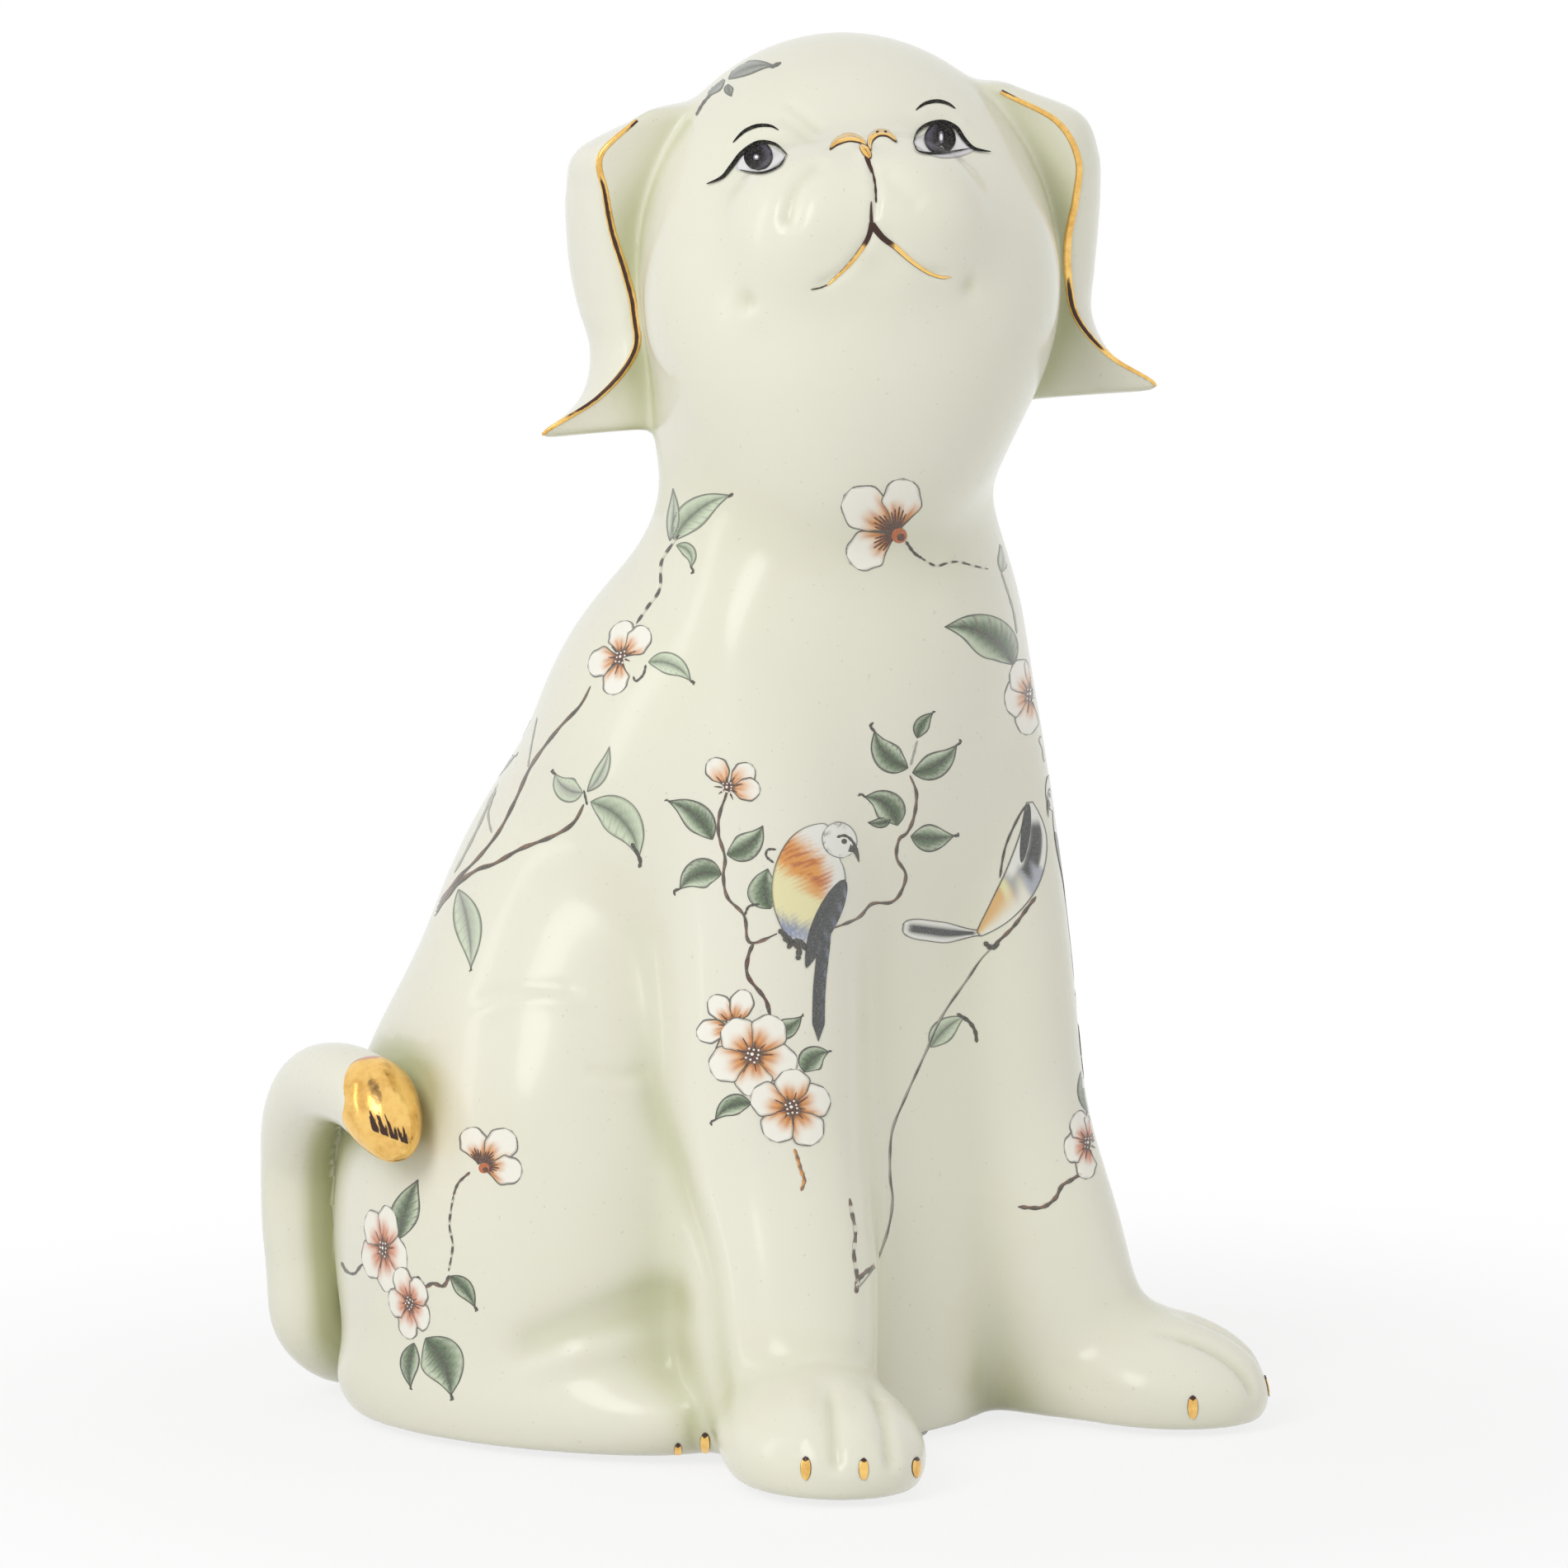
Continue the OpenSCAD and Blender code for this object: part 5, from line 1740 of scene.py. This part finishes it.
    def haunch_spray(self, p: Print) -> None:
        """Draws the blossoms and leaves on the haunch."""
        self.side_blossom(p, (583, 1413), 54, (250, 312, 8), (0.9, 1.05, 0.95))
        p.line([(570, 1421), (556, 1434), (550, 1449)], 3, LINE, second=BARK)
        p.line([(550, 1449), (545, 1484), (549, 1510), (544, 1541)], 2.6, dashes=7)
        p.line([(506, 1547), (514, 1560), (525, 1556), (538, 1559), (545, 1546)], 4.6, LINE, second=BARK)
        p.leaf((546, 1547), (576, 1585), 21, -0.1, Leaf.DEEP, hook=6)
        p.leaf((484, 1502), (507, 1430), 34, -0.05, Leaf.DEEP)
        p.blossom((465, 1514), 52, 8, (0.52, 1.08, -8), warm=0.7, tone=ROSE, broad=0.88)
        p.blossom((497, 1580), 44, 30, (0.6, 1.0, -12), warm=0.7, level=3.4, tone=ROSE, broad=0.88)
        p.leaf((502, 1628), (498, 1682), 23, 0.08, Leaf.DEEP, hook=4)
        p.leaf((516, 1622), (547, 1692), 52, -0.12, Leaf.DEEP, hook=7)
        p.line([(452, 1541), (440, 1533), (430, 1544), (420, 1541), (414, 1530)], 3.2)

    def forehead_sprig(self, p: Print) -> None:
        """Draws the small sprig over the brow."""
        p.leaf((883, 96), (940, 80), 16, -0.14, Leaf.MIST)
        p.line([(934, 82), (947, 76)], 4.4)
        p.leaf((879, 97), (859, 118), 14, 0.12, Leaf.MIST)
        p.line([(861, 115), (852, 126), (844, 140)], 3.2)
        p.leaf((883, 102), (887, 117), 11, 0.1, Leaf.MIST)

    def right_eye(self, p: Print) -> None:
        """Paints the eye at the viewer's left."""
        p.stroke([(893, 205), (908, 198), (926, 192), (952, 190)],
                 swelling(16.5, 0.75, 0.98, 0.01), self.eye_white, 0, 2, 13)
        self.iris(p, (920, 190), 17.5, 1, (918, 192), 4.2, 1.0)
        self.lids(p, [(858, 224), (876, 216), (888, 202), (901, 186), (920, 174), (940, 176), (955, 189)],
                  [(954, 189), (946, 202), (928, 210), (912, 210), (898, 207)],
                  [(889, 173), (902, 160), (918, 153), (934, 153), (944, 158)])

    def left_eye(self, p: Print) -> None:
        """Paints the eye at the viewer's right."""
        p.stroke([(1107, 173), (1130, 174), (1152, 176), (1180, 182)],
                 swelling(17, 0.75, 0.98, 0.01), self.eye_white, 0, 2, 13)
        self.iris(p, (1139, 169), 19, -1, (1140, 168), 3.4, 2.6)
        self.lids(p, [(1107, 174), (1112, 161), (1124, 152), (1142, 149), (1158, 156), (1168, 170),
                      (1180, 181), (1200, 185)],
                  [(1107, 173), (1112, 184), (1126, 187), (1148, 186), (1176, 181)],
                  [(1110, 134), (1121, 126), (1136, 123), (1149, 126), (1158, 132)])

    def eye_white(self, cell: Cell) -> np.ndarray:
        """Returns the white of an eye, greyer at its corners."""
        base = cell.coat(colour(238, 236, 236))
        return tinted(base, colour(190, 188, 192), (1 - soft(cell.edge, 0, 4)) * 0.8)

    def iris(self, p: Print, heart: tuple, radius: float, lit_side: int, spark: tuple, spark_size: float,
             spark_tall: float) -> None:
        """Paints the dark iris, its grey glow and its spark of light.

        Args:
            p: The layout.
            heart: Its middle.
            radius: Its radius.
            lit_side: Side of the grey glow, -1 or 1.
            spark: Middle of the spark.
            spark_size: Half width of the spark.
            spark_tall: Height of the spark by its width.
        """
        def shade(cell: Cell) -> np.ndarray:
            """Returns the iris, lighter at its sides and black in its middle."""
            x, y = cell.place[..., 0] - heart[0], cell.place[..., 1] - heart[1]
            away = np.hypot(x, y) / radius
            base = cell.coat(colour(26, 23, 28))
            base = tinted(base, colour(84, 77, 94),
                          soft(away, 0.3, 0.7) * soft(lit_side * x / radius, 0.0, 0.6))
            base = tinted(base, colour(12, 10, 13), 1 - soft(away, 0.2, 0.5))
            return tinted(base, colour(16, 14, 17), soft(away, 0.82, 0.95))

        p.stroke([(heart[0], heart[1] - radius), heart, (heart[0], heart[1] + radius)],
                 rounded(radius), shade, 7, 1.6, 17)
        p.disc(spark, spark_size * 0.9, colour(120, 116, 128), 9, spark_tall)
        p.disc(spark, spark_size * 0.5, colour(255, 255, 255), 10, spark_tall)

    def lids(self, p: Print, upper: list, lower: list, brow: list) -> None:
        """Paints the lids and the brow, each line thin at its ends."""
        for spine, width, level in ((lower, 1.3, 9), (upper, 2.7, 9.4), (brow, 2.2, 1)):
            p.stroke(spine, swelling(width, 0.6), lambda cell: cell.coat(colour(24, 22, 23)), level,
                     1.8, 7)


@dataclass
class Gilding:
    """The gold on the edges of the ears, the mouth, the nose and the claws."""

    surface: Surface
    gilt: bpy.types.Material
    look: Look
    edge_width: float = 0.72
    lift: float = 0.06
    crown: float = 0.16

    def build(self) -> list[bpy.types.Object]:
        """Lays all the gold.

        Returns:
            The pieces.
        """
        made = [self._edge_line(name, ear) for name, ear in self.surface.form.ears.items()]
        mouth = Print(self.surface, self.look)
        mouth.line([(1052, 190), (1057, 206), (1061, 224), (1062, 246)], 2.8, BROWN)
        mouth.stroke([(1051, 190), (1053, 198), (1057, 210)], self._taper(3.4, 0.3), self._brown, 1, 1.6, 7)
        mouth.stroke([(1057, 278), (1056, 262), (1056, 244)], self._taper(3.0, 0.2), self._brown, 1, 2, 7)
        mouth.stroke([(1057, 270), (1054, 284), (1047, 298), (1032, 318), (1016, 334), (1002, 347)],
                     self._taper(3.5, 0.45), self._half_brown, 1, 2.4, 9)
        mouth.line([(1004, 345), (994, 349), (983, 351)], 2.0, colour(90, 80, 60, 0.7))
        mouth.stroke([(1057, 272), (1070, 288), (1086, 300), (1104, 316), (1124, 330),
                      (1140, 336), (1154, 336)],
                     self._taper(4.2, 0.4), self._half_brown, 1, 2.4, 9)
        made.append(mouth.settle("mouth_gilt", self.gilt, "gilt", self.lift, self.crown))
        nose = Print(self.surface, self.look)
        # The nose wings in gold, with brown painted shade along their upper side.
        nose.stroke([(1006, 182), (1014, 173), (1028, 167), (1042, 170), (1051, 178)],
                    swelling(5.6, 0.7), self._wing, 1, 1.6, 11)
        nose.stroke([(1055, 184), (1055, 171), (1064, 162), (1077, 163), (1087, 173)],
                    swelling(4.6, 0.6), self._wing, 1.6, 1.6, 11)
        nose.stroke([(1043, 177), (1050, 184), (1055, 193)],
                    swelling(5.4, 0.6, 0.9, 0.06), self._wing, 2.2, 1.6, 11)
        made.append(nose.settle("nose_gilt", self.gilt, "gilt", self.lift, 0.3, 0.05, ("nose",)))
        claws = Print(self.surface, self.look)
        for spot, size in (((977, 1780), 6.6), ((1047, 1781), 6.2), ((1111, 1779), 5.8),
                           ((855, 1750), 6.2), ((822, 1760), 5.0), ((1446, 1706), 6.6)):
            self._claw(claws, spot, size)
        made.append(claws.settle("claw_gilt_right", self.gilt, "gilt", self.lift, 0.25, 0.05))
        claws = Print(self.surface, Look(azimuth=45.0), True)
        for spot, size in (((972, 1780), 6.4), ((1030, 1781), 6.2), ((855, 1750), 6.2), ((822, 1760), 5.0)):
            self._claw(claws, spot, size)
        made.append(claws.settle("claw_gilt_left", self.gilt, "gilt", self.lift, 0.25, 0.05))
        return made

    def _taper(self, width: float, least: float) -> Callable:
        """Returns half widths that fall from a width to a share of it at the end."""
        return lambda u: width * (1 - (1 - least) * u) * np.clip((1 - u) * 12 + 0.1, 0, 1)

    def _brown(self, cell: Cell) -> np.ndarray:
        """Returns brown all over."""
        return cell.coat(BROWN)

    def _half_brown(self, cell: Cell) -> np.ndarray:
        """Returns brown near the middle of the mouth, then bare gold with a brown edge."""
        base = cell.coat(BROWN)
        base[..., 3] = np.maximum(1 - soft(cell.along, 0.2, 0.4), soft(cell.across, 0.55, 0.95) * 0.8)
        return base

    def _wing(self, cell: Cell) -> np.ndarray:
        """Returns bare gold with painted brown shade along its upper side."""
        base = cell.coat(BROWN)
        base[..., 3] = np.maximum(soft(-np.abs(cell.across) + 0.15, 0, 0.15) * 0.55,
                                  (1 - soft(cell.edge, 0.5, 1.5)) * 0.85)
        return base

    def _claw(self, p: Print, spot: tuple, size: float) -> None:
        """Lays one claw: a tall spot of gold, brown at its root."""
        def brush(cell: Cell) -> np.ndarray:
            """Returns the brown root and the thin outline."""
            base = cell.coat(BROWN)
            base[..., 3] = np.maximum(1 - soft(cell.along + np.abs(cell.across) * 0.1, 0.16, 0.3),
                                      (1 - soft(cell.edge, 0.3, 1.1)) * 0.7)
            return base
        x, y = spot
        p.stroke([(x, y - size * 2.2), (x, y), (x, y + size * 2.2)],
                 rounded(size), brush, 1, 1.6, 11)

    def _edge_line(self, name: str, ear: Ear) -> bpy.types.Object:
        """Lays the gold line on the front edge of an ear."""
        form = self.surface.form
        t = np.linspace(0.025, 0.985, 150)
        origins, rays = ear.rays(t, np.full(len(t), ear.front))
        crest = form.settle(origins + rays * (ear.shell(t, 0 * t) - 0.3)[:, None], 4)
        normal = unit(form.slope(crest))
        ahead = unit(np.gradient(crest, axis=0))
        aside = unit(np.cross(normal, ahead))
        across = across_of(9)
        ends = np.clip(np.minimum(t, 1 - t) * 40, 0.2, 1)
        width = self.edge_width * (0.75 + 0.35 * np.sin(np.pi * t) + 0.3 * t) * ends
        points = crest[:, None] + aside[:, None] * (width[:, None] * across)[..., None]
        points = form.settle(points.reshape(-1, 3), 3)
        shaped, normals, pool = self.surface.shape(points)
        crown = self.crown * np.tile(np.sqrt(1 - across ** 2), len(t))
        shaped = shaped + normals * (self.lift + crown)[:, None]
        u, v = np.meshgrid(t, across, indexing="ij")
        core = (1 - soft(np.abs(v + 0.1), 0.3, 0.62)) * soft(u, 0.16, 0.24) * (1 - soft(u, 0.88, 0.97))
        if ear.side > 0:
            core = core * soft(np.sin(u * 9 + 1.2), 0.2, 0.9)
        ink = np.broadcast_to(BROWN, (*u.shape, 4)).copy()
        ink[..., 3] = np.maximum(core, (1 - soft(u, 0.03, 0.08)) * soft(v, -0.2, 0.4) * 0.8)
        faces = grid_faces(len(t), len(across))
        face_outwards(faces, shaped, normals)
        return piece(f"{name}_gilt_edge", shaped, faces, self.gilt, None,
                     {"ink": ink.reshape(-1, 4)}, "gilt")


@dataclass
class Pads:
    """The five self-adhesive pads under the figure, softly rounded, the rear one with a raised middle."""

    foam: bpy.types.Material
    round: float = 0.45
    inset: float = 0.05
    sides: int = 72

    def build(self) -> list[bpy.types.Object]:
        """Turns each pad from its profile, in the place of its CAD node."""
        made = []
        for node in ("pad_paw_right", "pad_paw_left", "pad_hind_left", "pad_centre", "pad_rear"):
            low, high = (np.array(corner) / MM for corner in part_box(node))
            middle, radius, top = (low + high) / 2, (high[0] - low[0]) / 2 - self.inset, high[2]
            foot = 0.55 * top if node == "pad_rear" else 0.0
            corner = np.linspace(0, np.pi / 2, 6)
            r, z = self.round, self.round
            profile = [(0.001, 0.02)]
            if node == "pad_rear":
                step = radius * 12 / 21
                profile += [(step - 0.3, 0.02), (step - 0.08, 0.1), (step, 0.3), (step + 0.1, foot - 0.05),
                            (step + 0.5, foot)]
            else:
                profile += [(radius * 0.5, 0.0)]
            profile += [(radius - r + r * math.sin(a), foot + z - z * math.cos(a)) for a in corner]
            profile += [(radius, top - 0.15), (radius - 0.15, top), (0.001, top)]
            made.append(piece(f"{node}_foam", *self._turned(profile, middle), self.foam, None,
                              None, "pad", (node,)))
        return made

    def _turned(self, profile: list, middle: np.ndarray) -> tuple[np.ndarray, list]:
        """Turns a profile of radii and heights about an upright axis."""
        angles = np.linspace(0, 2 * np.pi, self.sides, endpoint=False)
        points = [(middle[0] + r * math.cos(a), middle[1] + r * math.sin(a), z)
                  for r, z in profile for a in angles]
        return np.array(points), ring_faces(len(profile), self.sides)


@dataclass
class TailEgg:
    """The gilded egg at the end of the tail, with painted reflections and painted highlight stripes on its
    gold.
    """

    tail: Tail
    gilt: bpy.types.Material
    look: Look
    rings: int = 110
    sides: int = 144
    radius: float = 8.3
    raised: float = 3.6
    # Painted reflections as soft brown spots: pixel x, pixel y, width, height and cover.
    reflections: tuple = ((455, 1325, 12, 34, 0.5), (476, 1316, 4, 26, 0.35), (505, 1355, 3, 40, 0.35))

    def build(self) -> bpy.types.Object:
        """Turns the egg about an axis that bends as the end of the tail does."""
        tail = self.tail
        stops = tail.length - np.array([tail.tip_length * 0.97, tail.tip_length * 0.5, 0.4])
        first, middle, last = np.stack([np.interp(stops, tail.run, tail.line[:, k]) for k in range(3)], 1)
        first = first + [0, 0, self.raised]
        middle = middle + [0, 0, self.raised * 0.3]
        angles = np.linspace(0, np.pi, self.rings)
        share = ((1 - np.cos(angles)) / 2)[:, None]
        guide = 2 * middle - (first + last) / 2
        line = first * (1 - share) ** 2 + guide * 2 * share * (1 - share) + last * share ** 2
        ahead = unit((guide - first) * (1 - share) + (last - guide) * share)
        aside = unit(np.cross(guide - first, last - first))
        girth = np.sin(angles) ** 0.85 * (1 + 0.14 * np.cos(angles)) * self.radius
        turnings = np.linspace(0, 2 * np.pi, self.sides, endpoint=False)
        dents = (1 + 0.012 * np.sin(3 * turnings[None] + 5 * share)
                 + 0.008 * np.sin(7 * turnings[None] - 9 * share))
        points = (line[:, None] + (girth[:, None] * dents)[..., None]
                  * (aside * np.cos(turnings)[None, :, None]
                     + np.cross(ahead, aside)[:, None] * np.sin(turnings)[None, :, None]))
        away = points - self.look.eye()
        right, up, back = self.look.axes()
        x = self.look.middle - away @ right / (away @ back) * self.look.focal
        y = self.look.middle + away @ up / (away @ back) * self.look.focal
        ink = np.broadcast_to(BROWN, (*x.shape, 4)).copy()
        ink[..., 3] = 0
        # Painted reflections of dark surroundings as soft brown spots.
        for at_x, at_y, wide, tall, cover in self.reflections:
            spot = np.hypot((x - at_x - (y - at_y) * 0.25) / wide, (y - at_y) / tall)
            ink = tinted(ink, np.append(BROWN[:3], cover), 1 - soft(spot, 0.35, 1.15))
        # A brown wedge of painted reflection, broken by painted highlight stripes where the gold shows
        # through.
        lean = x - (y - 1365) * 0.28
        ragged = 7 * np.sin(lean * 0.71) + 4 * np.sin(lean * 1.9)
        painted_reflection_wedge = (soft(y - 1346 - (x - 450) * 0.45 + ragged, 0, 14)
                 * (1 - soft(y - 1370 - (x - 450) * 0.38, -2, 3))
                 * soft(lean, 446, 453) * (1 - soft(lean, 488, 497)))
        gleam = soft(np.sin((lean - 456) * 2 * np.pi / 10.5), 0.72, 0.99)
        ink = tinted(ink, BROWN, painted_reflection_wedge * (1 - 0.7 * gleam))
        rose = soft(0.22 - share + 0.03 * np.sin(turnings[None] * 5), 0, 0.1)
        ink = tinted(ink, colour(214, 160, 140, 0.75), rose)
        return piece("tail_egg", points.reshape(-1, 3), ring_faces(self.rings, self.sides), self.gilt,
                     None, {"ink": ink.reshape(-1, 4)}, "gilt", ("tail_tip",))


@dataclass
class Stage:
    """The plain pale sweep, the lamps and the camera."""

    look: Look
    backdrop: bpy.types.Material
    dim: float = 0.38
    aim: tuple = (0, 0.02, 0.14)
    lamps: tuple = (
        ("key_softbox", (-1.45, -0.34, 1.05), (0.75, 1.2), 10.0, False),
        ("glint_softbox", (-1.5, -0.3, 0.92), (0.5, 0.85), 3.2, True),
        ("fill_softbox", (1.1, -1.5, 0.7), (0.9, 1.4), 7.8, False),
        ("top_softbox", (-0.1, 0.3, 1.9), (1.4, 1.4), 4.0, False),
        ("left_strip", (-1.4, 0.9, 0.6), (0.3, 1.3), 1.6, True),
    )

    def build(self) -> None:
        """Makes all of them."""
        self._sweep()
        for lamp in self.lamps:
            self._lamp(*lamp)
        self._world()
        self._camera()

    def _sweep(self) -> None:
        """Builds the floor and the wall behind it as one smooth sheet."""
        work = bmesh.new()
        foot, bend, top, half = 2.2, 1.2, 6.0, 7.0
        profile = [(-top, 0.0), (foot, 0.0)]
        profile += [(foot + bend * math.sin(a), bend - bend * math.cos(a))
                    for a in np.linspace(0.15, np.pi / 2, 10)]
        profile += [(foot + bend, top)]
        right = np.array(self.look.axes()[0][:2])
        back = np.array([-right[1], right[0]])
        rows = []
        for away, height in profile:
            middle = back * away
            rows.append([work.verts.new((*(middle + right * x), height)) for x in (-half, half)])
        for a, b in zip(rows[:-1], rows[1:]):
            work.faces.new((a[0], a[1], b[1], b[0])).smooth = True
        mesh = bpy.data.meshes.new("sweep")
        work.to_mesh(mesh)
        work.free()
        mesh.materials.append(self.backdrop)
        made = bpy.data.objects.new("sweep", mesh)
        bpy.context.scene.collection.objects.link(made)

    def _lamp(self, name: str, place: tuple, size: tuple, power: float, mirrored: bool) -> None:
        """Hangs one softbox that looks at the figure, and that its gloss may mirror or not."""
        light = bpy.data.lights.new(name, "AREA")
        light.shape, light.size, light.size_y, light.energy = "ELLIPSE", size[0], size[1], power
        made = bpy.data.objects.new(name, light)
        made.location = place
        made.visible_glossy = mirrored
        aim = Vector(self.aim) - Vector(place)
        made.rotation_euler = aim.to_track_quat("-Z", "Y").to_euler()
        bpy.context.scene.collection.objects.link(made)

    def _world(self) -> None:
        """Lights the surroundings softly, and shows them white."""
        world = bpy.data.worlds.new("surroundings")
        bpy.context.scene.world = world
        m = Maker(world)
        strength = m.seen(m.node("ShaderNodeLightPath")) * (1 - self.dim) + self.dim
        ground = m.node("ShaderNodeBackground", None, {"Color": (1, 1, 1, 1), "Strength": strength})
        m.finish(ground, "ShaderNodeOutputWorld")

    def _camera(self) -> None:
        """Sets the camera where the photograph was taken."""
        right, up, back = self.look.axes()
        data = bpy.data.cameras.new("camera")
        data.sensor_width, data.sensor_fit = SENSOR, "HORIZONTAL"
        data.lens = self.look.focal / FRAME * SENSOR
        data.clip_start, data.clip_end = 0.05, 50
        made = bpy.data.objects.new("camera", data)
        matrix = np.eye(4)
        matrix[:3, 0], matrix[:3, 1], matrix[:3, 2] = right, up, back
        matrix[:3, 3] = self.look.eye() * MM
        made.matrix_world = Matrix(matrix.tolist())
        bpy.context.scene.collection.objects.link(made)
        bpy.context.scene.camera = made


def main() -> None:
    """Builds the figure, piece by piece, and its stage."""
    logging.basicConfig(level=logging.INFO, format="%(message)s")
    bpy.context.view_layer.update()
    look = Look()
    form = Form(Castings())
    surface = Surface(form, modelling(form, look))
    glaze, gilt, foam = Glaze().make(), Gilt().make(), Felt().make()
    Skin(surface, glaze).build()
    Decoration(surface, glaze, look).build()
    Gilding(surface, gilt, look).build()
    TailEgg(form.tail, gilt, look).build()
    Pads(foam).build()
    Stage(look, Backdrop().make()).build()
    bpy.context.scene.view_settings.view_transform = "Standard"


if __name__ == "__main__":
    main()
